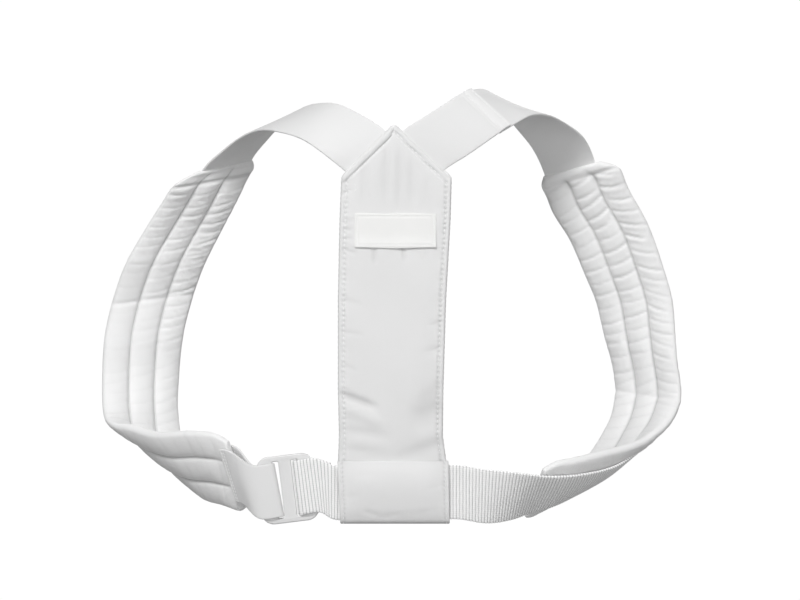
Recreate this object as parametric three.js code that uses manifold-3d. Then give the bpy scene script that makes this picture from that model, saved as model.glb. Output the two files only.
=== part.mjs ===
// A posture corrector, worn as a figure of eight and seen from behind the wearer.
// Millimetres, +Z up, -Y out of the wearer's back, +X to the wearer's right.
// The origin is the middle of the shoulder line, under the crests of the two straps.

import * as THREE from "three";
import { mergeVertices } from "three/addons/utils/BufferGeometryUtils.js";
import Module from "manifold-3d";

const wasm = await Module();
wasm.setup();

// Back panel
const PANEL_WIDTH = 78;
const PANEL_LENGTH = 279;
const PANEL_THICKNESS = 5;
const PEAK_RISE = 38;
const PEAK_DROP = 10;
const PANEL_BEVEL = 1.4;
const SHOULDER_BACK = 30;

// Tunnel for the belt, folded up from the foot of the panel
const TUNNEL_WALL = 1.6;
const TUNNEL_SEAM = 2;
const TUNNEL_CLEARANCE = 0.65;

// Label
const LABEL_WIDTH = 57;
const LABEL_HEIGHT = 24;
const LABEL_THICKNESS = 1;
const LABEL_DROP = 84;

// Bands
const ELASTIC_WIDTH = 40;
const ELASTIC_THICKNESS = 1.6;
const WEBBING_WIDTH = 38;
const WEBBING_THICKNESS = 2;
const STRAP_RISE = 30;
const STRAP_LAP = 10;
const STRAP_LAP_SHARE = 0.33;
const TUCK = 8;

// Pads
const PAD_WIDTH = 61;
const PAD_THICKNESS = 9;
const PAD_END_THICKNESS = 5.6;
const PAD_EDGE_THICKNESS = 3;
const SHOULDER_CHAMFER = 14;
const BELT_END_CHAMFER = 6;
const CHAMFER_RUN = 8;
const PAD_MARGIN = 3;
const PAD_PUFF_RUN = 22;
const PAD_CHANNELS = 3;
const HALF_SPAN = 192;
const LOOP_DEPTH = 110;

// Buckle
const BUCKLE_LENGTH = 41;
const BUCKLE_THICKNESS = 3;
const BUCKLE_RAIL = 4;
const BUCKLE_CORNER = 9;
const MIDDLE_BAR = 9;
const BUCKLE_SLOT = 4.4;
const BUCKLE_TILT = 7;
const SLOT_CLEARANCE = 0.75;

// Reaches along the belt, from one piece to the next
const BELT_FREE = 15;
const BUCKLE_LIFT = 2;
const LOOP_REACH = 36;
const LOOP_LIFT = 9.5;
const LOOP_BACK = 8;
const LOOP_HEM = 5;
const BELT_REACH = 61;
const BELT_BACK = 24;
const BELT_SAG = 4;
const BELT_SEWN_LENGTH = 90;
const TAIL_SHARE = 0.7;
const BELT_MARGIN = 7.5;

// Fits
const GAP = 0.3;
const WRAP_CLEARANCE = 0.4;
const SEWN_GAP = 0.7;

// Facets: steps between two stations of a run, divisions across a width, turns round a bar
const PAD_STEPS = 3;
const STRAP_STEPS = 5;
const BAND_STEPS = 4;
const CHANNEL_DIVISIONS = 6;
const STRAP_DIVISIONS = 2;
const BELT_DIVISIONS = 4;
const BAR_TURNS = 8;
const SEWN_STATIONS = 6;
const CURVE_SEGMENTS = 8;

// Places that follow from the sizes above
const PANEL_HALF = PANEL_WIDTH / 2;
const PANEL_BOTTOM = -(PEAK_DROP + PANEL_LENGTH);
const PEAK_FOOT = -(PEAK_DROP + PEAK_RISE);
const TUNNEL_INSIDE = -(PANEL_THICKNESS / 2 + GAP);
const TUNNEL_FRONT = TUNNEL_INSIDE - TUNNEL_WALL;
const PASSAGE = WEBBING_THICKNESS + 2 * TUNNEL_CLEARANCE;
const BACK_WALL = PANEL_THICKNESS + GAP - PASSAGE;
const BELT_Y = TUNNEL_INSIDE + PASSAGE / 2;
const BELT_Z = PANEL_BOTTOM + TUNNEL_WALL + PASSAGE / 2 + WEBBING_WIDTH / 2;
const PADDING_FOOT = BELT_Z + WEBBING_WIDTH / 2 + TUNNEL_CLEARANCE;
const TUNNEL_TOP = PADDING_FOOT + TUNNEL_SEAM;
const SLOT_HEIGHT = WEBBING_WIDTH + 2 * SLOT_CLEARANCE;
const END_BAR = (BUCKLE_LENGTH - MIDDLE_BAR - 2 * BUCKLE_SLOT) / 2;
const WEBBING_WRAP = BUCKLE_THICKNESS / 2 + WRAP_CLEARANCE + WEBBING_THICKNESS / 2;
const ELASTIC_WRAP = BUCKLE_THICKNESS / 2 + WRAP_CLEARANCE + ELASTIC_THICKNESS / 2;

// Half the panel's width at each height, from the foot of its point down to the tunnel
const PANEL_SIDES = [
  { down: 0, left: 0.95, right: 1.04 },
  { down: 0.14, left: 0.98, right: 1.02 },
  { down: 0.42, left: 1.01, right: 0.94 },
  { down: 0.74, left: 1.01, right: 0.89 },
  { down: 0.9, left: 0.99, right: 0.88 },
  { down: 1, left: 1.01, right: 0.95 },
];

// Middle line of each shoulder strap from the panel to its pad. out and back are shares of the
// way between them and up is a share of STRAP_RISE. yaw and pitch turn the width, in degrees.
const STRAP_LEFT = [
  { out: 0.16, back: 0.07, up: 0.45, yaw: 24, pitch: 47 },
  { out: 0.31, back: 0.19, up: 0.79, yaw: 35, pitch: 42 },
  { out: 0.46, back: 0.36, up: 0.95, yaw: 36, pitch: 34 },
  { out: 0.6, back: 0.57, up: 0.98, yaw: 28, pitch: 26 },
  { out: 0.74, back: 0.75, up: 0.79, yaw: 23, pitch: 22 },
  { out: 0.87, back: 0.88, up: 0.45, yaw: 24, pitch: 18 },
];
const STRAP_RIGHT = [
  { out: 0.16, back: 0.02, up: 0.43, yaw: 6, pitch: 46 },
  { out: 0.3, back: 0.06, up: 0.81, yaw: 11, pitch: 45 },
  { out: 0.42, back: 0.16, up: 1.13, yaw: 16, pitch: 43 },
  { out: 0.55, back: 0.35, up: 1.36, yaw: 21, pitch: 30 },
  { out: 0.67, back: 0.56, up: 1.27, yaw: 21, pitch: 14 },
  { out: 0.79, back: 0.72, up: 0.97, yaw: 17, pitch: 0 },
  { out: 0.91, back: 0.86, up: 0.6, yaw: 16, pitch: -9 },
];

// Middle line of each pad from its shoulder end to its belt end. out and back are shares of the
// way from the belt end to HALF_SPAN and LOOP_DEPTH, and down is a share of the belt end's depth.
const PAD_LEFT = [
  { out: 0.27, back: 0.82, down: 0.13, yaw: 24, pitch: 13, curl: 0 },
  { out: 0.43, back: 0.89, down: 0.22, yaw: 17, pitch: 8, curl: 0 },
  { out: 0.6, back: 0.95, down: 0.31, yaw: 16, pitch: 4, curl: 0 },
  { out: 0.77, back: 0.98, down: 0.41, yaw: 15, pitch: 1, curl: 0 },
  { out: 0.89, back: 1, down: 0.52, yaw: 16, pitch: 1, curl: 0 },
  { out: 0.97, back: 1, down: 0.62, yaw: 19, pitch: 3, curl: 0 },
  { out: 1, back: 0.97, down: 0.75, yaw: 26, pitch: 4, curl: 0 },
  { out: 0.98, back: 0.86, down: 0.85, yaw: 32, pitch: -2, curl: 0 },
  { out: 0.91, back: 0.7, down: 0.93, yaw: 31, pitch: -20, curl: 35 },
  { out: 0.77, back: 0.54, down: 0.97, yaw: 24, pitch: -40, curl: 42 },
  { out: 0.55, back: 0.35, down: 0.99, yaw: 18, pitch: -52, curl: 10 },
  { out: 0.27, back: 0.16, down: 0.99, yaw: 20, pitch: -63, curl: 0 },
  { out: 0, back: 0, down: 1, yaw: 34, pitch: -72, curl: 0 },
];
const PAD_RIGHT = [
  { out: 0.42, back: 0.79, down: 0.12, yaw: 20, pitch: -13, curl: 0 },
  { out: 0.5, back: 0.86, down: 0.2, yaw: 19, pitch: -16, curl: 0 },
  { out: 0.67, back: 0.9, down: 0.3, yaw: 18, pitch: -11, curl: 0 },
  { out: 0.8, back: 0.93, down: 0.41, yaw: 21, pitch: -5, curl: 0 },
  { out: 0.88, back: 0.94, down: 0.49, yaw: 27, pitch: -1, curl: 0 },
  { out: 0.92, back: 0.92, down: 0.58, yaw: 36, pitch: 0, curl: 0 },
  { out: 0.95, back: 0.88, down: 0.66, yaw: 43, pitch: 0, curl: 0 },
  { out: 0.96, back: 0.82, down: 0.75, yaw: 45, pitch: -2, curl: 5 },
  { out: 0.91, back: 0.72, down: 0.82, yaw: 50, pitch: -4, curl: 15 },
  { out: 0.79, back: 0.59, down: 0.89, yaw: 54, pitch: -9, curl: 45 },
  { out: 0.63, back: 0.43, down: 0.94, yaw: 58, pitch: -19, curl: 72 },
  { out: 0.42, back: 0.25, down: 0.97, yaw: 62, pitch: -30, curl: 68 },
  { out: 0.2, back: 0.1, down: 0.99, yaw: 66, pitch: -40, curl: 40 },
  { out: 0, back: 0, down: 1, yaw: 70, pitch: -48, curl: 10 },
];

// Belt between the tunnel and the right pad. along, back and turn are shares of the way from one
// to the other, and sag is a share of BELT_SAG.
const BELT_RUN = [
  { along: 0.35, back: 0.13, turn: 0.12, sag: 0.5 },
  { along: 0.7, back: 0.5, turn: 0.56, sag: 0.35 },
];

const UP = new THREE.Vector3(0, 0, 1);
const BODYWARD = new THREE.Vector3(0, 1, 0);

// Unit direction of a band's width, from its outer edge to its inner one; side is 1 on the left.
function widthway(yaw, pitch, side) {
  const turn = THREE.MathUtils.degToRad(yaw);
  const lift = THREE.MathUtils.degToRad(pitch);
  return new THREE.Vector3(
    side * Math.cos(lift) * Math.cos(turn),
    Math.cos(lift) * Math.sin(turn),
    Math.sin(lift),
  );
}

// One station of a band: its middle, the direction of its width, the width and its curvature.
function station(place, across, width, bend = 0) {
  return { place, across, width, bend };
}

// The numbers that a station is made of, as one list that can be blended.
function listed({ place, across, width, bend }) {
  return [...place.toArray(), ...across.toArray(), width, bend];
}

// A smooth run of stations through the given ones, with steps stations in each span: a cubic
// whose slope at each given station weighs the spans before and after it by their lengths.
function smoothRun(stations, steps) {
  const keys = stations.map(listed);
  const last = keys.length - 1;
  const span = keys.slice(1).map((_, i) => stations[i].place.distanceTo(stations[i + 1].place));
  const rate = (i, n) => (keys[i + 1][n] - keys[i][n]) / span[i];
  const slope = (i, n) => {
    if (i === 0) return rate(0, n);
    if (i === last) return rate(last - 1, n);
    const [before, after] = [span[i - 1], span[i]];
    return (rate(i - 1, n) * after + rate(i, n) * before) / (before + after);
  };
  const run = [];
  for (let i = 0; i < last; i++)
    for (let step = 0; step < steps; step++) {
      const t = step / steps;
      const ease = t * t * (3 - 2 * t);
      const blend = keys[i].map(
        (from, n) =>
          from * (1 - ease) +
          keys[i + 1][n] * ease +
          span[i] * t * (1 - t) * (slope(i, n) * (1 - t) - slope(i + 1, n) * t),
      );
      const place = new THREE.Vector3(...blend.slice(0, 3));
      run.push(station(place, new THREE.Vector3(...blend.slice(3, 6)).normalize(), ...blend.slice(6)));
    }
  run.push(stations[last]);
  return run;
}

// Adds each station's distance along the run and its face, the normal on the body's side.
function measured(run, side) {
  let reach = 0;
  return run.map((at, i) => {
    const before = run[Math.max(i - 1, 0)];
    const after = run[Math.min(i + 1, run.length - 1)];
    reach += at.place.distanceTo(before.place);
    const along = after.place.clone().sub(before.place).normalize();
    const face = along.clone().cross(at.across).multiplyScalar(side).normalize();
    return { ...at, reach, along, face };
  });
}

// The station at a distance along a measured run.
function stationAt(run, reach) {
  const last = run.length - 1;
  const next = run.findIndex((at, i) => i > 0 && (at.reach >= reach || i === last));
  const [from, to] = [run[next - 1], run[next]];
  const t = (reach - from.reach) / (to.reach - from.reach);
  const mixed = { reach };
  for (const field of ["place", "across", "along", "face"])
    mixed[field] = from[field].clone().lerp(to[field], t);
  for (const field of ["across", "along", "face"]) mixed[field].normalize();
  for (const field of ["width", "bend"])
    mixed[field] = THREE.MathUtils.lerp(from[field], to[field], t);
  return mixed;
}

// A station moved off its surface, away from the body where lift is positive.
function lifted(at, lift, width = at.width) {
  const bend = at.bend / (1 + at.bend * lift);
  return { ...at, place: at.place.clone().addScaledVector(at.face, -lift), bend, width };
}

// A closed solid that follows a measured run. halfThickness(u, at) is half its thickness at u
// across the width, from -1 on the outer edge to 1 on the inner one, in even divisions.
function bandGeometry(run, divisions, halfThickness) {
  const points = [];
  for (const at of run)
    for (const layer of [1, -1])
      for (let j = 0; j <= divisions; j++) {
        const u = (2 * j) / divisions - 1;
        const turn = (u * at.width * at.bend) / 2;
        const chord = at.bend ? Math.sin(turn) / at.bend : (u * at.width) / 2;
        const sink = at.bend ? (1 - Math.cos(turn)) / at.bend : 0;
        const rise = layer * halfThickness(u, at);
        points.push(
          at.place
            .clone()
            .addScaledVector(at.across, chord - rise * Math.sin(turn))
            .addScaledVector(at.face, sink + rise * Math.cos(turn)),
        );
      }
  const ring = 2 * (divisions + 1);
  const bodySide = (i, j) => i * ring + j;
  const outSide = (i, j) => i * ring + divisions + 1 + j;
  const index = [];
  const quad = (a, b, c, d) => index.push(a, b, c, a, c, d);
  const last = run.length - 1;
  for (let i = 0; i < last; i++) {
    for (let j = 0; j < divisions; j++) {
      quad(bodySide(i, j), bodySide(i + 1, j), bodySide(i + 1, j + 1), bodySide(i, j + 1));
      quad(outSide(i, j), outSide(i, j + 1), outSide(i + 1, j + 1), outSide(i + 1, j));
    }
    quad(outSide(i, 0), outSide(i + 1, 0), bodySide(i + 1, 0), bodySide(i, 0));
    quad(
      bodySide(i, divisions),
      bodySide(i + 1, divisions),
      outSide(i + 1, divisions),
      outSide(i, divisions),
    );
  }
  for (let j = 0; j < divisions; j++) {
    quad(outSide(0, j), bodySide(0, j), bodySide(0, j + 1), outSide(0, j + 1));
    quad(bodySide(last, j), outSide(last, j), outSide(last, j + 1), bodySide(last, j + 1));
  }
  const geometry = new THREE.BufferGeometry().setFromPoints(points);
  geometry.setIndex(index);
  return solidOf(geometry).volume() < 0 ? turnedOut(geometry) : geometry;
}

// The same geometry with each face turned the other way round.
function turnedOut(geometry) {
  const index = [...geometry.index.array];
  for (let i = 0; i < index.length; i += 3)
    [index[i + 1], index[i + 2]] = [index[i + 2], index[i + 1]];
  geometry.setIndex(index);
  return geometry;
}

function solidOf(geometry) {
  const bare = geometry.clone();
  bare.deleteAttribute("normal");
  bare.deleteAttribute("uv");
  const merged = mergeVertices(bare, 1e-4);
  const mesh = new wasm.Mesh({
    numProp: 3,
    vertProperties: merged.attributes.position.array,
    triVerts: new Uint32Array(merged.index.array),
  });
  return new wasm.Manifold(mesh);
}

function geometryOf(solid) {
  const mesh = solid.getMesh();
  const geometry = new THREE.BufferGeometry();
  geometry.setAttribute("position", new THREE.BufferAttribute(mesh.vertProperties, 3));
  geometry.setIndex(new THREE.BufferAttribute(mesh.triVerts, 1));
  geometry.computeVertexNormals();
  return geometry;
}

function cut(geometry, ...tools) {
  return geometryOf(tools.reduce((rest, tool) => rest.subtract(solidOf(tool)), solidOf(geometry)));
}

// Stands an extruded outline up: its x stays, its y becomes z, and its depth runs along -y.
function upright(shape, thickness, bevel) {
  const geometry = new THREE.ExtrudeGeometry(shape, {
    depth: thickness - 2 * bevel,
    bevelEnabled: bevel > 0,
    bevelThickness: bevel,
    bevelSize: bevel,
    bevelOffset: -bevel,
    bevelSegments: 2,
    curveSegments: CURVE_SEGMENTS,
  });
  geometry.translate(0, 0, bevel - thickness / 2);
  return geometry.rotateX(Math.PI / 2);
}

function panelGeometry(strapSolids) {
  const outline = new THREE.Shape();
  const height = PEAK_FOOT - PADDING_FOOT;
  outline.moveTo(0, -PEAK_DROP);
  for (const row of PANEL_SIDES)
    outline.lineTo(-row.left * PANEL_HALF, PEAK_FOOT - row.down * height);
  for (const row of PANEL_SIDES.toReversed())
    outline.lineTo(row.right * PANEL_HALF, PEAK_FOOT - row.down * height);
  outline.closePath();
  const padded = upright(outline, PANEL_THICKNESS, PANEL_BEVEL);
  const wallFoot = PANEL_BOTTOM + tunnelLip() + GAP;
  const wallTop = PADDING_FOOT + TUNNEL_SEAM;
  const wall = new THREE.BoxGeometry(PANEL_WIDTH, BACK_WALL, wallTop - wallFoot);
  wall.translate(0, (PANEL_THICKNESS - BACK_WALL) / 2, (wallTop + wallFoot) / 2);
  const joined = geometryOf(solidOf(padded).add(solidOf(wall)));
  return cut(joined, ...strapSolids);
}

// Height of the tunnel's folded foot where it meets the back wall.
function tunnelLip() {
  return (PASSAGE + TUNNEL_WALL + BACK_WALL) / 2 + 2 * TUNNEL_WALL;
}

// A wall in front, and a round fold at the foot that comes up behind it.
function tunnelGeometry() {
  const back = PANEL_THICKNESS / 2;
  const outer = (back - TUNNEL_FRONT) / 2;
  const middle = back - outer;
  const round = PANEL_BOTTOM + outer;
  const inner = PASSAGE / 2;
  const outline = new THREE.Shape();
  outline.moveTo(TUNNEL_FRONT, TUNNEL_TOP);
  outline.lineTo(TUNNEL_FRONT, round);
  outline.absarc(middle, round, outer, Math.PI, 2 * Math.PI, false);
  outline.lineTo(back, PANEL_BOTTOM + tunnelLip());
  outline.lineTo(back - BACK_WALL, PANEL_BOTTOM + tunnelLip());
  outline.lineTo(back - BACK_WALL, round);
  outline.absarc(back - BACK_WALL - inner, round, inner, 2 * Math.PI, Math.PI, true);
  outline.lineTo(TUNNEL_INSIDE, TUNNEL_TOP);
  outline.closePath();
  const geometry = new THREE.ExtrudeGeometry(outline, {
    depth: PANEL_WIDTH,
    bevelEnabled: false,
    curveSegments: CURVE_SEGMENTS,
  });
  geometry.translate(0, 0, -PANEL_HALF);
  const turn = new THREE.Matrix4().makeBasis(BODYWARD, UP, new THREE.Vector3(1, 0, 0));
  return geometry.applyMatrix4(turn);
}

function roundedRectangle(path, left, bottom, width, height, radius) {
  const right = left + width;
  const top = bottom + height;
  path.moveTo(left + radius, bottom);
  path.lineTo(right - radius, bottom);
  path.absarc(right - radius, bottom + radius, radius, -Math.PI / 2, 0, false);
  path.lineTo(right, top - radius);
  path.absarc(right - radius, top - radius, radius, 0, Math.PI / 2, false);
  path.lineTo(left + radius, top);
  path.absarc(left + radius, top - radius, radius, Math.PI / 2, Math.PI, false);
  path.lineTo(left, bottom + radius);
  path.absarc(left + radius, bottom + radius, radius, Math.PI, 1.5 * Math.PI, false);
  return path;
}

function buckleGeometry() {
  const height = SLOT_HEIGHT + 2 * BUCKLE_RAIL;
  const frame = new THREE.Shape();
  roundedRectangle(frame, -BUCKLE_LENGTH / 2, -height / 2, BUCKLE_LENGTH, height, BUCKLE_CORNER);
  const slots = [-1, 1].map((side) =>
    new THREE.BoxGeometry(BUCKLE_SLOT, 2 * BUCKLE_THICKNESS, SLOT_HEIGHT).translate(
      (side * (MIDDLE_BAR + BUCKLE_SLOT)) / 2,
      0,
      0,
    ),
  );
  return cut(upright(frame, BUCKLE_THICKNESS, BUCKLE_THICKNESS / 5), ...slots);
}

// Places on the buckle, along its length and away from the body, and the way its bars run.
const TILT = THREE.MathUtils.degToRad(BUCKLE_TILT);
const BUCKLE_PLACE = new THREE.Vector3(
  -(PANEL_HALF + BELT_FREE + BUCKLE_LENGTH / 2),
  BELT_Y + WEBBING_WRAP,
  BELT_Z + BUCKLE_LIFT,
);
const BUCKLE_ALONG = new THREE.Vector3(Math.cos(TILT), 0, Math.sin(TILT));
const BUCKLE_DOWN = new THREE.Vector3(Math.sin(TILT), 0, -Math.cos(TILT));

function onBuckle(along, bodyward) {
  return BUCKLE_PLACE.clone()
    .addScaledVector(BUCKLE_ALONG, along)
    .addScaledVector(BODYWARD, bodyward);
}

// Stations round a bar's edge, from the front of the bar to its back; toward is 1 to the right.
function wrapRound(edge, wrap, toward, width) {
  return Array.from({ length: BAR_TURNS + 1 }, (_, i) => {
    const angle = (Math.PI * i) / BAR_TURNS;
    const along = edge + toward * wrap * Math.sin(angle);
    return station(onBuckle(along, -wrap * Math.cos(angle)), BUCKLE_DOWN, width);
  });
}

// Where each pad ends beside the belt, on the left and on the right.
const LEFT_END = new THREE.Vector3(
  BUCKLE_PLACE.x - LOOP_REACH,
  BUCKLE_PLACE.y + LOOP_BACK,
  BUCKLE_PLACE.z + LOOP_LIFT,
);
const RIGHT_END = new THREE.Vector3(PANEL_HALF + BELT_REACH, BELT_Y + BELT_BACK, BELT_Z - BELT_SAG);

// The pad's measured run, from its shoulder end to its belt end.
function padRun(rows, end, side) {
  const near = Math.abs(end.x);
  const stations = rows.map((row) => {
    const place = new THREE.Vector3(
      -side * THREE.MathUtils.lerp(near, HALF_SPAN, row.out),
      THREE.MathUtils.lerp(end.y, LOOP_DEPTH, row.back),
      end.z * row.down,
    );
    const bend = THREE.MathUtils.degToRad(row.curl) / PAD_WIDTH;
    return station(place, widthway(row.yaw, row.pitch, side), PAD_WIDTH, bend);
  });
  return measured(smoothRun(stations, PAD_STEPS), side);
}

// A pad's solid, with its corners cut off, and a slot in its shoulder end for the strap.
function padGeometry(run, strapRoom) {
  const length = run.at(-1).reach;
  const corner = (fromEnd) => Math.max(0, 1 - fromEnd / CHAMFER_RUN);
  const trimmed = run.map((at) => {
    const beltEnd = BELT_END_CHAMFER * corner(length - at.reach);
    const outer = SHOULDER_CHAMFER * corner(at.reach) + beltEnd;
    const inner = (PAD_MARGIN / 2) * corner(at.reach) + beltEnd;
    return {
      ...at,
      place: at.place.clone().addScaledVector(at.across, (outer - inner) / 2),
      width: at.width - outer - inner,
      fromEnd: Math.min(at.reach, length - at.reach),
    };
  });
  const divisions = CHANNEL_DIVISIONS * PAD_CHANNELS;
  return cut(bandGeometry(trimmed, divisions, padHalfThickness), strapRoom);
}

// A pad is thin at its ends and puffs up to its full thickness away from them.
function padPuff(fromEnd) {
  return THREE.MathUtils.smoothstep(fromEnd, 0, PAD_PUFF_RUN);
}

function padCrown(fromEnd) {
  return THREE.MathUtils.lerp(PAD_END_THICKNESS, PAD_THICKNESS, padPuff(fromEnd));
}

// Three channels side by side, with seams between them that fade out at the pad's ends.
function padHalfThickness(u, at) {
  const swell = Math.sqrt(Math.abs(Math.sin((Math.PI * PAD_CHANNELS * (u + 1)) / 2)));
  const inner = THREE.MathUtils.lerp(1, swell, padPuff(at.fromEnd));
  const rim = 1 - Math.abs(u) < 1e-6 ? 0 : inner;
  return THREE.MathUtils.lerp(PAD_EDGE_THICKNESS, padCrown(at.fromEnd), rim) / 2;
}

// Shoulder strap, tucked into the panel's point at one end and into the pad at the other.
function strapRun(rows, pad, side) {
  const slope = new THREE.Vector3(side * PANEL_HALF, 0, PEAK_RISE).normalize();
  const outward = new THREE.Vector3(-side * slope.z, 0, Math.abs(slope.x));
  const start = new THREE.Vector3((-side * PANEL_HALF) / 2, 0, -PEAK_DROP - PEAK_RISE / 2);
  const margin = (Math.hypot(PANEL_HALF, PEAK_RISE) - ELASTIC_WIDTH) / 2;
  const tuck = (margin * Math.abs(slope.x) - 2 * GAP) / slope.z;
  const shift = (PAD_WIDTH - ELASTIC_WIDTH) / 2 - PAD_MARGIN;
  const onPad = (reach) => {
    const at = stationAt(pad, reach);
    return station(at.place.addScaledVector(at.across, shift), at.across, ELASTIC_WIDTH);
  };
  const end = onPad(0).place;
  const between = rows.map((row) =>
    station(
      new THREE.Vector3(
        THREE.MathUtils.lerp(start.x, end.x, row.out),
        THREE.MathUtils.lerp(start.y, end.y, row.back),
        THREE.MathUtils.lerp(start.z, end.z, row.out) + row.up * STRAP_RISE,
      ),
      widthway(row.yaw, row.pitch, side),
      ELASTIC_WIDTH,
    ),
  );
  const stations = [
    station(start.clone().addScaledVector(outward, -tuck), slope, ELASTIC_WIDTH),
    station(start, slope, ELASTIC_WIDTH),
    ...between,
    onPad(0),
    onPad(TUCK),
  ];
  return measured(smoothRun(stations, STRAP_STEPS), side);
}

const flatBand = (thickness) => () => thickness / 2;

// The strap's own solid, or with a clearance the room that it needs in what it is tucked into.
function strapGeometry(run, clearance = 0) {
  const room = run.map((at) => ({
    ...at,
    place: at.place.clone(),
    width: at.width + 2 * clearance,
  }));
  room[0].place.addScaledVector(room[0].along, -clearance);
  room.at(-1).place.addScaledVector(room.at(-1).along, clearance);
  return bandGeometry(room, STRAP_DIVISIONS, flatBand(ELASTIC_THICKNESS + 2 * clearance));
}

// Elastic that holds the buckle's left bar, sewn over the pad's end in front and behind.
function loopGeometry(pad) {
  const length = pad.at(-1).reach;
  const layer = (side) =>
    [LOOP_HEM, 0].map((fromEnd) => {
      const lift = (ELASTIC_THICKNESS + padCrown(fromEnd)) / 2 + SEWN_GAP;
      return lifted(stationAt(pad, length - fromEnd), side * lift, ELASTIC_WIDTH);
    });
  const edge = -BUCKLE_SLOT - MIDDLE_BAR / 2;
  const onBar = (along, side) =>
    station(onBuckle(along, -side * ELASTIC_WRAP), BUCKLE_DOWN, WEBBING_WIDTH);
  const front = smoothRun([...layer(1), onBar(edge - END_BAR, 1), onBar(edge, 1)], BAND_STEPS);
  const wrap = wrapRound(edge, ELASTIC_WRAP, 1, WEBBING_WIDTH);
  const behind = smoothRun(
    [onBar(edge, -1), onBar(edge - END_BAR, -1), ...layer(-1).reverse()],
    BAND_STEPS,
  );
  const run = measured([...front.slice(0, -1), ...wrap, ...behind.slice(1)], 1);
  return bandGeometry(run, STRAP_DIVISIONS, flatBand(ELASTIC_THICKNESS));
}

// Webbing from a hidden tail round the buckle's right bar, through the tunnel, to the right pad.
function beltGeometry(pad) {
  const down = new THREE.Vector3(0, 0, -1);
  const edge = BUCKLE_SLOT + MIDDLE_BAR / 2;
  const onBar = (along, side) =>
    station(onBuckle(along, side * WEBBING_WRAP), BUCKLE_DOWN, WEBBING_WIDTH);
  const tail = onBar(edge + END_BAR + TAIL_SHARE * BELT_FREE, 1);
  tail.place.y = BELT_Y + WEBBING_THICKNESS + 2 * GAP;
  tail.place.z = THREE.MathUtils.lerp(onBar(edge + END_BAR, 1).place.z, BELT_Z, TAIL_SHARE);
  tail.across = BUCKLE_DOWN.clone().lerp(down, TAIL_SHARE).normalize();
  const behind = smoothRun([tail, onBar(edge + END_BAR, 1), onBar(edge, 1)], BAND_STEPS);
  const wrap = wrapRound(edge, WEBBING_WRAP, -1, WEBBING_WIDTH).reverse();
  const inTunnel = (x) => station(new THREE.Vector3(x, BELT_Y, BELT_Z), down, WEBBING_WIDTH);
  const length = pad.at(-1).reach;
  const shift = (PAD_WIDTH - WEBBING_WIDTH) / 2 - BELT_MARGIN;
  const onPad = (fromEnd) => {
    const lift = (WEBBING_THICKNESS + padCrown(fromEnd)) / 2 + SEWN_GAP;
    const at = lifted(stationAt(pad, length - fromEnd), lift, WEBBING_WIDTH);
    at.place.addScaledVector(at.across, -shift);
    return at;
  };
  const mouth = PANEL_HALF + 2 * WEBBING_THICKNESS;
  const leave = inTunnel(mouth);
  const arrive = onPad(0);
  const run = BELT_RUN.map((row) => {
    const place = leave.place.clone().lerp(arrive.place, row.along);
    place.y = THREE.MathUtils.lerp(leave.place.y, arrive.place.y, row.back);
    place.z -= BELT_SAG * row.sag;
    return station(place, down.clone().lerp(arrive.across, row.turn).normalize(), WEBBING_WIDTH);
  });
  const sewn = Array.from({ length: SEWN_STATIONS }, (_, i) =>
    onPad(((i + 1) * BELT_SEWN_LENGTH) / SEWN_STATIONS),
  );
  const front = smoothRun(
    [
      onBar(edge, -1),
      onBar(edge + END_BAR, -1),
      inTunnel(-mouth),
      inTunnel(-PANEL_HALF / 2),
      inTunnel(PANEL_HALF / 2),
      inTunnel(PANEL_HALF),
      leave,
      ...run,
      arrive,
      ...sewn,
    ],
    BAND_STEPS,
  );
  const whole = measured([...behind.slice(0, -1), ...wrap, ...front.slice(1)], 1);
  return bandGeometry(whole, BELT_DIVISIONS, flatBand(WEBBING_THICKNESS));
}

// Splits a strap's run in two that lap over each other; the piece from the panel lies on top.
function lapped(run, middle) {
  const lift = (ELASTIC_THICKNESS + GAP) / 2;
  const eased = (at) => {
    const away = Math.abs(at.reach - middle);
    return lift * (1 - THREE.MathUtils.smoothstep(away, STRAP_LAP, 3 * STRAP_LAP));
  };
  const from = middle - STRAP_LAP / 2;
  const to = middle + STRAP_LAP / 2;
  const upper = [...run.filter((at) => at.reach < to), stationAt(run, to)];
  const lower = [stationAt(run, from), ...run.filter((at) => at.reach > from)];
  return [upper.map((at) => lifted(at, eased(at))), lower.map((at) => lifted(at, -eased(at)))];
}

function material(colour, roughness) {
  return new THREE.MeshStandardMaterial({ color: colour, roughness, metalness: 0 });
}

const group = new THREE.Group();
group.position.y = -SHOULDER_BACK;

function addPiece(name, geometry, finish) {
  const mesh = new THREE.Mesh(geometry, finish);
  mesh.name = name;
  group.add(mesh);
  return mesh;
}

const leftPad = padRun(PAD_LEFT, LEFT_END, 1);
const rightPad = padRun(PAD_RIGHT, RIGHT_END, -1);
const leftStrap = strapRun(STRAP_LEFT, leftPad, 1);
const rightStrap = strapRun(STRAP_RIGHT, rightPad, -1);
const leftRoom = strapGeometry(leftStrap, GAP);
const rightRoom = strapGeometry(rightStrap, GAP);
const [rightStrapBack, rightStrapFront] = lapped(rightStrap, STRAP_LAP_SHARE * rightStrap.at(-1).reach);

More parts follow.
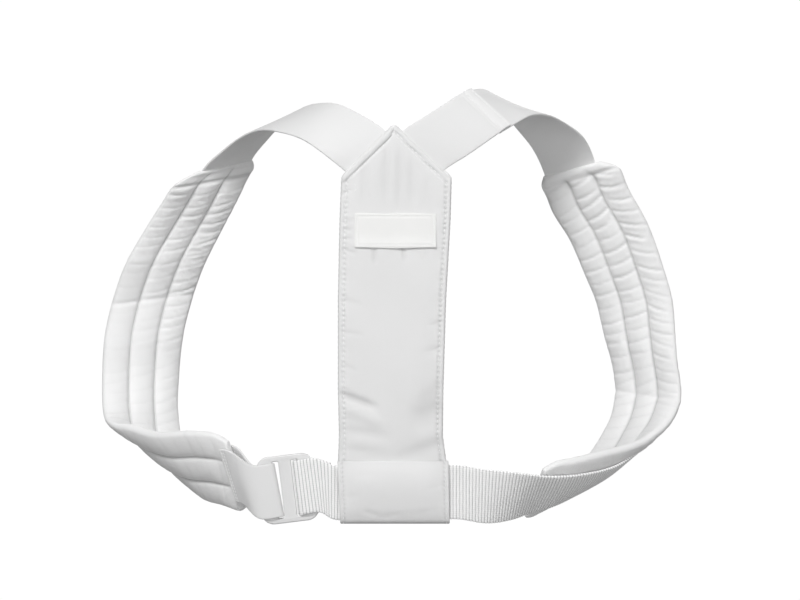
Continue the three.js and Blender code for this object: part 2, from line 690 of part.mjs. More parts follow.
addPiece("back_panel", panelGeometry([leftRoom, rightRoom]), material("#eceded", 0.9));
addPiece("belt_tunnel", tunnelGeometry(), material("#ebecec", 0.9));
const label = upright(
  roundedRectangle(
    new THREE.Shape(),
    -LABEL_WIDTH / 2,
    -LABEL_HEIGHT / 2,
    LABEL_WIDTH,
    LABEL_HEIGHT,
    LABEL_THICKNESS,
  ),
  LABEL_THICKNESS,
  0,
);
const labelPiece = addPiece("label", label, material("#f4f4f3", 0.7));
labelPiece.position.set(
  LABEL_THICKNESS,
  -(PANEL_THICKNESS + LABEL_THICKNESS) / 2 - GAP,
  -LABEL_DROP,
);
addPiece("shoulder_strap_left", strapGeometry(leftStrap), material("#f1f1f1", 0.8));
addPiece("shoulder_strap_right_back", strapGeometry(rightStrapBack), material("#f1f1f1", 0.8));
addPiece("shoulder_strap_right_front", strapGeometry(rightStrapFront), material("#f1f1f1", 0.8));
addPiece("pad_left", padGeometry(leftPad, leftRoom), material("#f0f1f1", 0.95));
addPiece("pad_right", padGeometry(rightPad, rightRoom), material("#f0f1f1", 0.95));
addPiece("buckle_loop", loopGeometry(leftPad), material("#f1f1f1", 0.8));
const buckle = addPiece("buckle", buckleGeometry(), material("#f8f8f8", 0.35));
buckle.position.copy(BUCKLE_PLACE);
buckle.rotation.y = -TILT;
addPiece("belt", beltGeometry(rightPad), material("#ededed", 0.85));

export default group;
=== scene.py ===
"""A posture corrector in its worn form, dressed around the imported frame.

Metres, +Z up, -Y out of the wearer's back, +X to the wearer's right. The shapes are worked out
from the middle plane of the back panel, and moved to the frame as each mesh is made.
"""

import logging
import math
from dataclasses import dataclass, field, replace
from enum import Enum
from typing import Callable, NamedTuple, Sequence

import bmesh
import bpy
import numpy as np
from bpy.types import Material, Mesh, Node, NodeSocket, NodeTree, Object
from mathutils import Matrix, Vector


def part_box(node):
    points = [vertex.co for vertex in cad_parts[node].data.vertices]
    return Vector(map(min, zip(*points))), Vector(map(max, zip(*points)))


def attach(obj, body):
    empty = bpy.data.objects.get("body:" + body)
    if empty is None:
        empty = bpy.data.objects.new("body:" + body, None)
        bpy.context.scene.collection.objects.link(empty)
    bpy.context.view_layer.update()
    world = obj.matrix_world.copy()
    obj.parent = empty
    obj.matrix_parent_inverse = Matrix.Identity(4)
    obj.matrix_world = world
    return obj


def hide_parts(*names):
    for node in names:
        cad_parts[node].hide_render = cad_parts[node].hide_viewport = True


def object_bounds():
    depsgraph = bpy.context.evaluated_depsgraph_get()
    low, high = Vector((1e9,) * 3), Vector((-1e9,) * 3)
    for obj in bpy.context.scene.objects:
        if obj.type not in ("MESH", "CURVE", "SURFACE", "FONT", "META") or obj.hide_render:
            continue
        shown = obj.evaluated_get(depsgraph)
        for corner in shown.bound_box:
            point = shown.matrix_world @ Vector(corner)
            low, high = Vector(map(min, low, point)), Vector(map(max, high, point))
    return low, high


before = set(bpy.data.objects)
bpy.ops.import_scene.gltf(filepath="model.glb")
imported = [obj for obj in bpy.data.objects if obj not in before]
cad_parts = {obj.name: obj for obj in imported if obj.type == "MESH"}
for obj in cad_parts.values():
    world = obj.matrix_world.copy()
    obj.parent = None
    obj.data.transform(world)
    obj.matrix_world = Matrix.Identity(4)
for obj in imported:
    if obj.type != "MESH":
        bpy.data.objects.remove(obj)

Array = np.ndarray
Number = float | Array

CAD_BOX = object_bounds()
MM = 0.001
log = logging.getLogger("posture_corrector")

# The panel's own sizes
PANEL_WIDTH = 78 * MM
PANEL_HALF = PANEL_WIDTH / 2
PANEL_THICKNESS = 5 * MM
PANEL_LENGTH = 279 * MM
PEAK_RISE = 38 * MM
PEAK_DROP = 10 * MM
PANEL_BOTTOM = -(PEAK_DROP + PANEL_LENGTH)
PEAK_FOOT = -(PEAK_DROP + PEAK_RISE)
TUNNEL_WALL = 1.6 * MM
TUNNEL_SEAM = 2 * MM
TUNNEL_CLEARANCE = 0.65 * MM

# Bands
ELASTIC_WIDTH = 40 * MM
ELASTIC_THICKNESS = 1.6 * MM
WEBBING_WIDTH = 38 * MM
WEBBING_THICKNESS = 2 * MM
STRAP_RISE = 30 * MM
STRAP_LAP = 10 * MM
STRAP_LAP_SHARE = 0.33
TUCK = 8 * MM

# Pads
PAD_WIDTH = 61 * MM
PAD_THICKNESS = 9 * MM
PAD_END_THICKNESS = 5.6 * MM
SHOULDER_CHAMFER = 14 * MM
BELT_END_CHAMFER = 6 * MM
CHAMFER_RUN = 8 * MM
PAD_MARGIN = 3 * MM
PAD_PUFF_RUN = 22 * MM
PAD_CHANNELS = 3
HALF_SPAN = 192 * MM
LOOP_DEPTH = 110 * MM

# Buckle
BUCKLE_LENGTH = 41 * MM
BUCKLE_THICKNESS = 3 * MM
BUCKLE_RAIL = 4 * MM
BUCKLE_CORNER = 9 * MM
MIDDLE_BAR = 9 * MM
BUCKLE_SLOT = 4.4 * MM
BUCKLE_TILT = math.radians(7)
SLOT_CLEARANCE = 0.75 * MM

# Reaches along the belt
BELT_FREE = 15 * MM
BUCKLE_LIFT = 2 * MM
LOOP_REACH = 36 * MM
LOOP_LIFT = 9.5 * MM
LOOP_BACK = 8 * MM
LOOP_HEM = 5 * MM
BELT_REACH = 61 * MM
BELT_BACK = 24 * MM
BELT_SAG = 4 * MM
BELT_SEWN_LENGTH = 90 * MM
BELT_END_SINK = 4.5 * MM
TAIL_SHARE = 0.7
BELT_MARGIN = 7.5 * MM
GAP = 0.3 * MM
WRAP_CLEARANCE = 0.4 * MM
SEWN_GAP = 0.7 * MM

# How finely bands are built, and which bend and which distance count as none
SPAN_STEPS = 16
STRAP_SPACING = 1.2 * MM
WRAP_STEPS = 25
SEWN_STEPS = 6
EDGE_STEPS = 5
STRAIGHT = 1e-6
DOUBLED = 1e-6

# Columns of a station's row
PLACE = slice(0, 3)
ACROSS = slice(3, 6)
WIDTH = 6
BEND = 7
FACE = slice(8, 11)

# Places that follow from the sizes above
TUNNEL_INSIDE = -(PANEL_THICKNESS / 2 + GAP)
TUNNEL_FRONT = TUNNEL_INSIDE - TUNNEL_WALL
PASSAGE = WEBBING_THICKNESS + 2 * TUNNEL_CLEARANCE
BACK_WALL = PANEL_THICKNESS + GAP - PASSAGE
BELT_Y = TUNNEL_INSIDE + PASSAGE / 2
BELT_Z = PANEL_BOTTOM + TUNNEL_WALL + PASSAGE / 2 + WEBBING_WIDTH / 2
PADDING_FOOT = BELT_Z + WEBBING_WIDTH / 2 + TUNNEL_CLEARANCE
TUNNEL_TOP = PADDING_FOOT + TUNNEL_SEAM
SLOT_HEIGHT = WEBBING_WIDTH + 2 * SLOT_CLEARANCE
END_BAR = (BUCKLE_LENGTH - MIDDLE_BAR - 2 * BUCKLE_SLOT) / 2
WEBBING_WRAP = BUCKLE_THICKNESS / 2 + WRAP_CLEARANCE + WEBBING_THICKNESS / 2
ELASTIC_WRAP = BUCKLE_THICKNESS / 2 + WRAP_CLEARANCE + ELASTIC_THICKNESS / 2
DOWN = np.array([0.0, 0.0, -1.0])
RIGHTWARD = np.array([1.0, 0.0, 0.0])
BODYWARD = np.array([0.0, 1.0, 0.0])
BUCKLE_PLACE = np.array(
    [-(PANEL_HALF + BELT_FREE + BUCKLE_LENGTH / 2), BELT_Y + WEBBING_WRAP, BELT_Z + BUCKLE_LIFT]
)
BUCKLE_ALONG = np.array([math.cos(BUCKLE_TILT), 0.0, math.sin(BUCKLE_TILT)])
BUCKLE_DOWN = np.array([math.sin(BUCKLE_TILT), 0.0, -math.cos(BUCKLE_TILT)])
LEFT_END = BUCKLE_PLACE + np.array([-LOOP_REACH, LOOP_BACK, LOOP_LIFT])
RIGHT_END = np.array([PANEL_HALF + BELT_REACH, BELT_Y + BELT_BACK, BELT_Z - BELT_SAG])

PANEL_LOW, PANEL_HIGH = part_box("back_panel")
PANEL_PLANE = np.array([0.0, (PANEL_LOW.y + PANEL_HIGH.y) / 2, 0.0])


class Side(Enum):
    """The side of the panel that a band is on, as the camera sees it."""

    LEFT = 1
    RIGHT = -1


class PanelRow(NamedTuple):
    """Shares of the panel's half width at a share of the way down its sides."""

    down: float
    left: float
    right: float


class StrapRow(NamedTuple):
    """A station of a shoulder strap, in shares, with its width's turns in degrees."""

    out: float
    back: float
    up: float
    yaw: float
    pitch: float


class PadRow(NamedTuple):
    """A station of a pad, in shares, with its width's turns and its curl in degrees."""

    out: float
    back: float
    down: float
    yaw: float
    pitch: float
    curl: float = 0.0


class BeltRow(NamedTuple):
    """A station of the belt between the tunnel and the right pad, in shares."""

    along: float
    back: float
    turn: float
    sag: float


PANEL_SIDES = [PanelRow(*row) for row in (
    (0, 0.95, 1.04),
    (0.14, 0.98, 1.02),
    (0.42, 1.01, 0.94),
    (0.74, 1.01, 0.89),
    (0.9, 0.99, 0.88),
    (1, 1.01, 0.95),
)]
STRAP_LEFT = [StrapRow(*row) for row in (
    (0.16, 0.07, 0.45, 24, 47),
    (0.31, 0.19, 0.79, 35, 42),
    (0.46, 0.36, 0.95, 36, 34),
    (0.6, 0.57, 0.98, 28, 26),
    (0.74, 0.75, 0.79, 23, 22),
    (0.87, 0.88, 0.45, 24, 18),
)]
STRAP_RIGHT = [StrapRow(*row) for row in (
    (0.16, 0.02, 0.43, 6, 46),
    (0.3, 0.06, 0.81, 11, 45),
    (0.42, 0.16, 1.13, 16, 43),
    (0.55, 0.35, 1.36, 21, 30),
    (0.67, 0.56, 1.27, 21, 14),
    (0.79, 0.72, 0.97, 17, 0),
    (0.91, 0.86, 0.6, 16, -9),
)]
PAD_LEFT = [PadRow(*row) for row in (
    (0.27, 0.82, 0.13, 24, 13),
    (0.43, 0.89, 0.22, 17, 8),
    (0.6, 0.95, 0.31, 16, 4),
    (0.77, 0.98, 0.41, 15, 1),
    (0.89, 1, 0.52, 16, 1),
    (0.97, 1, 0.62, 19, 3),
    (1, 0.97, 0.75, 26, 4),
    (0.98, 0.86, 0.85, 32, -2),
    (0.91, 0.7, 0.93, 31, -20, 35),
    (0.77, 0.54, 0.97, 24, -40, 42),
    (0.55, 0.35, 0.99, 18, -52, 10),
    (0.27, 0.16, 0.99, 20, -63),
    (0, 0, 1, 34, -72),
)]
PAD_RIGHT = [PadRow(*row) for row in (
    (0.42, 0.79, 0.12, 20, -13),
    (0.5, 0.86, 0.2, 19, -16),
    (0.67, 0.9, 0.3, 18, -11),
    (0.8, 0.93, 0.41, 21, -5),
    (0.88, 0.94, 0.49, 27, -1),
    (0.92, 0.92, 0.58, 36, 0),
    (0.95, 0.88, 0.66, 43, 0),
    (0.96, 0.82, 0.75, 45, -2, 5),
    (0.91, 0.72, 0.82, 50, -4, 15),
    (0.79, 0.59, 0.89, 54, -9, 45),
    (0.63, 0.43, 0.94, 58, -19, 72),
    (0.42, 0.25, 0.97, 62, -30, 68),
    (0.2, 0.1, 0.99, 66, -40, 40),
    (0, 0, 1, 70, -48, 10),
)]
BELT_RUN = [BeltRow(0.35, 0.13, 0.12, 0.5), BeltRow(0.7, 0.5, 0.56, 0.35)]


def unit(vectors: Array) -> Array:
    """Scales each vector to length one."""
    return vectors / np.linalg.norm(vectors, axis=-1, keepdims=True)


def smoothstep(share: Array) -> Array:
    """Eases a share from 0 to 1."""
    held = np.clip(share, 0.0, 1.0)
    return held * held * (3 - 2 * held)


def lerp(start: Number, end: Number, share: Number) -> Number:
    """Blends two values."""
    return start + (end - start) * share


def hollow(distance: Array, reach: float) -> Array:
    """A smooth hump of height one and the given reach to each side."""
    return np.exp(-((distance / reach) ** 2))


def widthway(yaw: float, pitch: float, side: Side) -> Array:
    """The direction of a band's width, from its outer edge to its inner one.

    Args:
        yaw: Turn about +Z in degrees.
        pitch: Lift above the horizon in degrees.
        side: The side that the band is on.

    Returns:
        A unit vector.
    """
    turn, lift = math.radians(yaw), math.radians(pitch)
    level = math.cos(lift)
    return np.array([side.value * level * math.cos(turn), level * math.sin(turn), math.sin(lift)])


def station(place: Array, across: Array, width: float, bend: float = 0.0) -> Array:
    """One station of a band as a row: place, direction of the width, width and curvature."""
    return np.concatenate([place, across, [width, bend]])


def smooth_rows(stations: Sequence[Array], steps: int) -> Array:
    """Runs a cubic through stations, with slopes that weigh the spans beside them.

    Args:
        stations: Rows made by station.
        steps: Rows to make for each span.

    Returns:
        The rows along the cubic, the last station included.
    """
    keys = np.array(stations)
    span = np.linalg.norm(np.diff(keys[:, PLACE], axis=0), axis=1)[:, None]
    rate = np.diff(keys, axis=0) / span
    before, after = span[:-1], span[1:]
    inner = (rate[:-1] * after + rate[1:] * before) / (before + after)
    slope = np.vstack([rate[:1], inner, rate[-1:]])
    rows = []
    for i in range(len(keys) - 1):
        t = (np.arange(steps) / steps)[:, None]
        ease = t * t * (3 - 2 * t)
        swing = span[i] * t * (1 - t) * (slope[i] * (1 - t) - slope[i + 1] * t)
        rows.append(keys[i] * (1 - ease) + keys[i + 1] * ease + swing)
    rows.append(keys[-1:])
    return np.vstack(rows)


class Run:
    """A band's middle line in even steps: where it passes and which way its width points."""

    def __init__(self, rows: Array, side: Side, spacing: float) -> None:
        """Steps evenly along rows.

        Args:
            rows: Rows made by station, close together.
            side: The side that the band is on.
            spacing: Distance between two steps.
        """
        chords = np.linalg.norm(np.diff(rows[:, PLACE], axis=0), axis=1)
        reach = np.concatenate([[0.0], np.cumsum(chords)])
        count = max(2, round(reach[-1] / spacing) + 1)
        self.side = side
        self.reach = np.linspace(0.0, reach[-1], count)
        self.rows = np.column_stack([np.interp(self.reach, reach, column) for column in rows.T])
        self.rows[:, ACROSS] = unit(self.rows[:, ACROSS])
        self.along = unit(np.gradient(self.rows[:, PLACE], axis=0))
        self.face = unit(side.value * np.cross(self.along, self.rows[:, ACROSS]))

    @property
    def length(self) -> float:
        """Length of the middle line."""
        return float(self.reach[-1])

    @property
    def spacing(self) -> float:
        """Distance between two steps."""
        return float(self.reach[1])

    def at(self, reach: float) -> "Spot":
        """Finds the spot at a distance along the line.

        Args:
            reach: The distance from the line's start.

        Returns:
            The spot.
        """
        columns = np.column_stack([self.rows, self.face])
        row = np.array([np.interp(reach, self.reach, column) for column in columns.T])
        return Spot(row[PLACE], unit(row[ACROSS]), unit(row[FACE]), row[WIDTH], row[BEND])

    def between(self, start: float, end: float) -> "Run":
        """Takes a stretch of the line.

        Args:
            start: Where it starts, as a distance along the line.
            end: Where it ends.

        Returns:
            The stretch.
        """
        inside = (self.reach > start) & (self.reach < end)
        rows = [self.at(start).row(), *self.rows[inside], self.at(end).row()]
        return Run(np.array(rows), self.side, self.spacing)

    def lifted(self, lift: Number) -> "Run":
        """Moves the line off its surface.

        Args:
            lift: How far, away from the body where it is positive.

        Returns:
            The moved line.
        """
        rows = self.rows.copy()
        rows[:, PLACE] -= self.face * np.reshape(lift, (-1, 1))
        rows[:, BEND] /= 1 + rows[:, BEND] * lift
        return Run(rows, self.side, self.spacing)

    def surface(self, across: Array, rise: Array) -> Array:
        """Points beside the line, on its curled surface or off it.

        Args:
            across: Shares of the half width, from -1 on the outer edge to 1 on the inner one,
                one for each column, or for each row and column.
            rise: Distances off the surface towards the body, for each row and column.

        Returns:
            A grid of points with a row for each step.
        """
        aside = across * self.rows[:, WIDTH, None] / 2
        bend = self.rows[:, BEND, None]
        curled = np.abs(bend) >= STRAIGHT
        safe = np.where(curled, bend, 1.0)
        turn = aside * bend
        sideways = np.where(curled, np.sin(turn) / safe, aside) - rise * np.sin(turn)
        bodyward = np.where(curled, (1 - np.cos(turn)) / safe, 0.0) + rise * np.cos(turn)
        return (
            self.rows[:, None, PLACE]
            + self.rows[:, None, ACROSS] * sideways[..., None]
            + self.face[:, None, :] * bodyward[..., None]
        )


@dataclass(frozen=True)
class Spot:
    """A spot on a run's middle line, with the frame of the band there."""

    place: Array
    across: Array
    face: Array
    width: float
    bend: float

    def row(self) -> Array:
        """The spot as a station's row."""
        return station(self.place, self.across, self.width, self.bend)

    def off(self, lift: float, width: float, shift: float = 0.0) -> Array:
        """A station lifted off the band, away from the body, and shifted along its width."""
        place = self.place - self.face * lift + self.across * shift
        return station(place, self.across, width, self.bend / (1 + self.bend * lift))


def on_buckle(along: float, bodyward: float) -> Array:
    """A place beside the buckle's middle, along its length and towards the body."""
    return BUCKLE_PLACE + BUCKLE_ALONG * along + BODYWARD * bodyward


def wrap_rows(edge: float, wrap: float, toward: int) -> Array:
    """Rows round a bar's edge, from the front of the bar to its back.

    Args:
        edge: The bar's edge along the buckle.
        wrap: Radius of the turn.
        toward: 1 where the turn bulges to the right, and -1 to the left.

    Returns:
        Rows of stations.
    """
    places = [
        on_buckle(edge + toward * wrap * math.sin(angle), -wrap * math.cos(angle))
        for angle in np.linspace(0, math.pi, WRAP_STEPS)
    ]
    return np.array([station(place, BUCKLE_DOWN, WEBBING_WIDTH) for place in places])


def pad_run(rows: Sequence[PadRow], end: Array, side: Side, spacing: float) -> Run:
    """A pad's run, from its shoulder end to its belt end.

    Args:
        rows: The pad's stations.
        end: The place of its belt end.
        side: The side that it is on.
        spacing: Distance between two steps.

    Returns:
        The run.
    """
    stations = []
    for row in rows:
        place = np.array(
            [
                -side.value * lerp(abs(end[0]), HALF_SPAN, row.out),
                lerp(end[1], LOOP_DEPTH, row.back),
                end[2] * row.down,
            ]
        )
        bend = math.radians(row.curl) / PAD_WIDTH
        stations.append(station(place, widthway(row.yaw, row.pitch, side), PAD_WIDTH, bend))
    return Run(smooth_rows(stations, SPAN_STEPS), side, spacing)


def pad_crown(from_end: Array) -> Array:
    """A pad's thickness at a distance from its nearer end."""
    puff = smoothstep(from_end / PAD_PUFF_RUN)
    return PAD_END_THICKNESS + (PAD_THICKNESS - PAD_END_THICKNESS) * puff


def strap_run(rows: Sequence[StrapRow], pad: Run, side: Side, spacing: float) -> Run:
    """A shoulder strap's run, tucked into the panel's point and into the pad.

    Args:
        rows: The strap's stations between the two.
        pad: The run of the pad that it joins.
        side: The side that it is on.
        spacing: Distance between two steps.

    Returns:
        The run.
    """
    slope = unit(np.array([side.value * PANEL_HALF, 0.0, PEAK_RISE]))
    outward = np.array([-side.value * slope[2], 0.0, abs(slope[0])])
    start = np.array([-side.value * PANEL_HALF / 2, 0.0, -PEAK_DROP - PEAK_RISE / 2])
    margin = (math.hypot(PANEL_HALF, PEAK_RISE) - ELASTIC_WIDTH) / 2
    tuck = (margin * abs(slope[0]) - 2 * GAP) / slope[2]
    shift = (PAD_WIDTH - ELASTIC_WIDTH) / 2 - PAD_MARGIN
    ends = [pad.at(reach).off(0.0, ELASTIC_WIDTH, shift) for reach in (0.0, TUCK)]
    for end in ends:
        end[BEND] = 0.0
    target = ends[0][PLACE]
    between = [
        station(
            np.array(
                [
                    lerp(start[0], target[0], row.out),
                    lerp(start[1], target[1], row.back),
                    lerp(start[2], target[2], row.out) + row.up * STRAP_RISE,
                ]
            ),
            widthway(row.yaw, row.pitch, side),
            ELASTIC_WIDTH,
        )
        for row in rows
    ]
    tucked = station(start - outward * tuck, slope, ELASTIC_WIDTH)
    first = station(start, slope, ELASTIC_WIDTH)
    return Run(smooth_rows([tucked, first, *between, *ends], SPAN_STEPS), side, spacing)


def loop_run(pad: Run, spacing: float) -> Run:
    """The run of the elastic that holds the buckle's left bar.

    Args:
        pad: The left pad's run.
        spacing: Distance between two steps.

    Returns:
        The run, from the elastic's end in front to its end behind.
    """

    def layer(side: int) -> list[Array]:
        """The elastic over the pad's end.

        Args:
            side: 1 in front of the pad, and -1 behind it.

        Returns:
            Its stations.
        """
        made = []
        for from_end in (LOOP_HEM, 0.0):
            lift = (ELASTIC_THICKNESS + float(pad_crown(from_end))) / 2 + SEWN_GAP
            made.append(pad.at(pad.length - from_end).off(side * lift, ELASTIC_WIDTH))
        return made

    def on_bar(along: float, side: int) -> Array:
        """A station in front of the left bar or behind it."""
        return station(on_buckle(along, -side * ELASTIC_WRAP), BUCKLE_DOWN, WEBBING_WIDTH)

    edge = -BUCKLE_SLOT - MIDDLE_BAR / 2
    front = smooth_rows([*layer(1), on_bar(edge - END_BAR, 1), on_bar(edge, 1)], SPAN_STEPS)
    behind = smooth_rows(
        [on_bar(edge, -1), on_bar(edge - END_BAR, -1), *reversed(layer(-1))], SPAN_STEPS
    )
    wrap = wrap_rows(edge, ELASTIC_WRAP, 1)
    return Run(np.vstack([front[:-1], wrap, behind[1:]]), Side.LEFT, spacing)


def belt_run(pad: Run, spacing: float) -> Run:
    """The belt's run, from its tail behind the buckle to its end on the right pad.

    Args:
        pad: The right pad's run.
        spacing: Distance between two steps.

    Returns:
        The run.
    """
    edge = BUCKLE_SLOT + MIDDLE_BAR / 2

    def on_bar(along: float, side: int) -> Array:
        """A station behind the right bar or in front of it."""
        return station(on_buckle(along, side * WEBBING_WRAP), BUCKLE_DOWN, WEBBING_WIDTH)

    def in_tunnel(x: float) -> Array:
        """A station in the tunnel."""
        return station(np.array([x, BELT_Y, BELT_Z]), DOWN, WEBBING_WIDTH)

    def on_pad(from_end: float) -> Array:
        """The belt on the outer face of the right pad.

        Args:
            from_end: Distance from the pad's belt end.

        Returns:
            Its station.
        """
        lift = (WEBBING_THICKNESS + float(pad_crown(from_end))) / 2 + SEWN_GAP
        lift -= BELT_END_SINK * float(smoothstep(2 * from_end / BELT_SEWN_LENGTH - 1))
        shift = (PAD_WIDTH - WEBBING_WIDTH) / 2 - BELT_MARGIN
        return pad.at(pad.length - from_end).off(lift, WEBBING_WIDTH, -shift)

    tail = on_bar(edge + END_BAR + TAIL_SHARE * BELT_FREE, 1)
    tail[1] = BELT_Y + WEBBING_THICKNESS + 2 * GAP
    tail[2] = lerp(on_bar(edge + END_BAR, 1)[2], BELT_Z, TAIL_SHARE)
    tail[ACROSS] = unit(lerp(BUCKLE_DOWN, DOWN, TAIL_SHARE))
    behind = smooth_rows([tail, on_bar(edge + END_BAR, 1), on_bar(edge, 1)], SPAN_STEPS)
    wrap = wrap_rows(edge, WEBBING_WRAP, -1)[::-1]
    mouth = PANEL_HALF + 2 * WEBBING_THICKNESS
    leave, arrive = in_tunnel(mouth), on_pad(0.0)
    free = []
    for row in BELT_RUN:
        place = lerp(leave[PLACE], arrive[PLACE], row.along)
        place[1] = lerp(leave[1], arrive[1], row.back)
        place[2] -= BELT_SAG * row.sag
        across = unit(lerp(DOWN, arrive[ACROSS], row.turn))
        free.append(station(place, across, WEBBING_WIDTH))
    sewn = [on_pad(share * BELT_SEWN_LENGTH) for share in np.linspace(0, 1, SEWN_STEPS + 1)[1:]]
    inside = [in_tunnel(x) for x in (-mouth, -PANEL_HALF / 2, PANEL_HALF / 2, PANEL_HALF)]
    front = smooth_rows(
        [on_bar(edge, -1), on_bar(edge + END_BAR, -1), *inside, leave, *free, arrive, *sewn],
        SPAN_STEPS,
    )
    return Run(np.vstack([behind[:-1], wrap, front[1:]]), Side.LEFT, spacing)


def band_columns(width: float, thickness: float, middle: int) -> tuple[Array, Array]:
    """Columns across a flat band with round edges.

    Args:
        width: The band's width.
        middle: Columns between the round edges.

    Returns:
        Shares of the half width, and the half thickness at each.
    """
    angles = np.linspace(0, math.pi / 2, EDGE_STEPS)
    distance = thickness / 2 * (1 - np.cos(angles))
    rounded = thickness / 2 * np.sin(angles)
    share = 1 - 2 * distance / width
    flat = np.linspace(-share[-1], share[-1], middle + 2)[1:-1]
    across = np.concatenate([-share, flat, share[::-1]])
    half = np.concatenate([rounded, np.full(middle, thickness / 2), rounded[::-1]])
    return across, half


def flat_grid(along: Array, sideways: Array) -> Array:
    """Where each row and column of a cloth lies when it is flat."""
    return np.stack(np.meshgrid(along, sideways, indexing="ij"), -1)


def link(obj: Object) -> Object:
    """Puts an object in the scene."""
    bpy.context.scene.collection.objects.link(obj)
    return obj


def shell(
    name: str,
    body: Array,
    out: Array,
    flat: Array,
    sharp: float = 50.0,
    creases: Sequence[Array] = (),
) -> Object:
    """Closes two grids of points into one solid, and joins them where they meet.

    Args:
        name: The object's name.
        body: The grid on the body's side.
        out: The grid on the outer side, of the same size.
        flat: Where each point of a grid lies when the cloth is flat, in metres.
        sharp: The least angle of a sharp edge, in degrees.
        creases: Painted shade at each point of the two grids, from 0 to 1, darkest in seams,
            puckers and creases.

    Returns:
        The object, whose UV map is the flat cloth.
    """
    rows, columns = body.shape[:2]
    points = np.concatenate([body.reshape(-1, 3), out.reshape(-1, 3)]) + PANEL_PLANE
    inner = np.arange(rows * columns).reshape(rows, columns)
    outer = inner + rows * columns
    strips = [
        inner,
        outer[:, ::-1],
        np.stack([outer[:, 0], inner[:, 0]], 1),
        np.stack([inner[:, -1], outer[:, -1]], 1),
        np.stack([outer[0], inner[0]]),
        np.stack([inner[-1], outer[-1]]),
    ]
    quads = np.vstack(
        [
            np.stack([s[:-1, :-1], s[1:, :-1], s[1:, 1:], s[:-1, 1:]], -1).reshape(-1, 4)
            for s in strips
        ]
    )
    a, b, c, d = (points[quads[:, i]] for i in range(4))
    volume = np.sum(a * np.cross(b, c)) + np.sum(a * np.cross(c, d))
    if volume < 0:
        quads = quads[:, ::-1]
    mesh = bpy.data.meshes.new(name)
    mesh.from_pydata(points.tolist(), [], quads.tolist())
    layer = mesh.uv_layers.new(name="UVMap")
    both = np.concatenate([flat.reshape(-1, 2), flat.reshape(-1, 2)])
    corners = np.zeros(len(mesh.loops), np.int32)
    mesh.loops.foreach_get("vertex_index", corners)
    layer.data.foreach_set("uv", both[corners].astype(np.float32).ravel())
    # Painted shade: the masks are kept as the point attribute "crease", which darkens the cloth's
    # colour.
    if creases:
        mask = np.concatenate([np.clip(grid, 0, 1).ravel() for grid in creases])
        shade_mask = mesh.attributes.new("crease", "FLOAT", "POINT")
        shade_mask.data.foreach_set("value", mask.astype(np.float32))
    weld(mesh)
    finish_shading(mesh, sharp)
    return link(bpy.data.objects.new(name, mesh))


def coordinates(mesh: Mesh) -> Array:
    """Reads the places of a mesh's points.

    Args:
        mesh: The mesh.

    Returns:
        A row for each point.
    """
    places = np.zeros(len(mesh.vertices) * 3, np.float32)
    mesh.vertices.foreach_get("co", places)
    return places.reshape(-1, 3).astype(float)


def weld(mesh: Mesh) -> None:
    """Merges a mesh's doubled points.

    Args:
        mesh: The mesh to change.
    """
    work = bmesh.new()
    work.from_mesh(mesh)
    bmesh.ops.remove_doubles(work, verts=work.verts, dist=DOUBLED)
    work.to_mesh(mesh)
    work.free()


def finish_shading(mesh: Mesh, sharp: float) -> None:
    """Shades a mesh smooth, apart from its sharp edges.

    Args:
        mesh: The mesh to change.
        sharp: The least angle of a sharp edge, in degrees.
    """
    mesh.polygons.foreach_set("use_smooth", [True] * len(mesh.polygons))
    mesh.set_sharp_from_angle(angle=math.radians(sharp))
    mesh.update()


def band(
    name: str,
    run: Run,
    thickness: float,
    middle: int = 12,
    relief: Callable[[Array, Array], Array] | None = None,
) -> Object:
    """A flat woven band with round edges along a run.

    Args:
        name: The object's name.
        run: The band's middle line.
        middle: Columns between its round edges.
        relief: Extra height off both faces, by distance along and distance across.

    Returns:
        The object.
    """
    across, half = band_columns(ELASTIC_WIDTH, thickness, middle)
    flat = flat_grid(run.reach, across * ELASTIC_WIDTH / 2)
    rise = np.tile(half, (len(run.reach), 1))
    if relief is not None:
        rise = rise + relief(flat[..., 0], flat[..., 1]) * (half / half.max())
    return shell(name, run.surface(across, rise), run.surface(across, -rise), flat)


def polylines(name: str, lines: Sequence[Array]) -> Object:
    """Makes a mesh of edges.

    Args:
        name: The object's name.
        lines: Points along each line, from the panel's plane.

    Returns:
        The object.
    """
    points, edges = [], []
    for line in lines:
        start = len(points)
        points.extend((line + PANEL_PLANE).tolist())
        edges.extend((start + i, start + i + 1) for i in range(len(line) - 1))
    mesh = bpy.data.meshes.new(name)
    mesh.from_pydata(points, edges, [])
    return link(bpy.data.objects.new(name, mesh))


NODE_STEP = 180
Given = float | str | tuple | NodeSocket


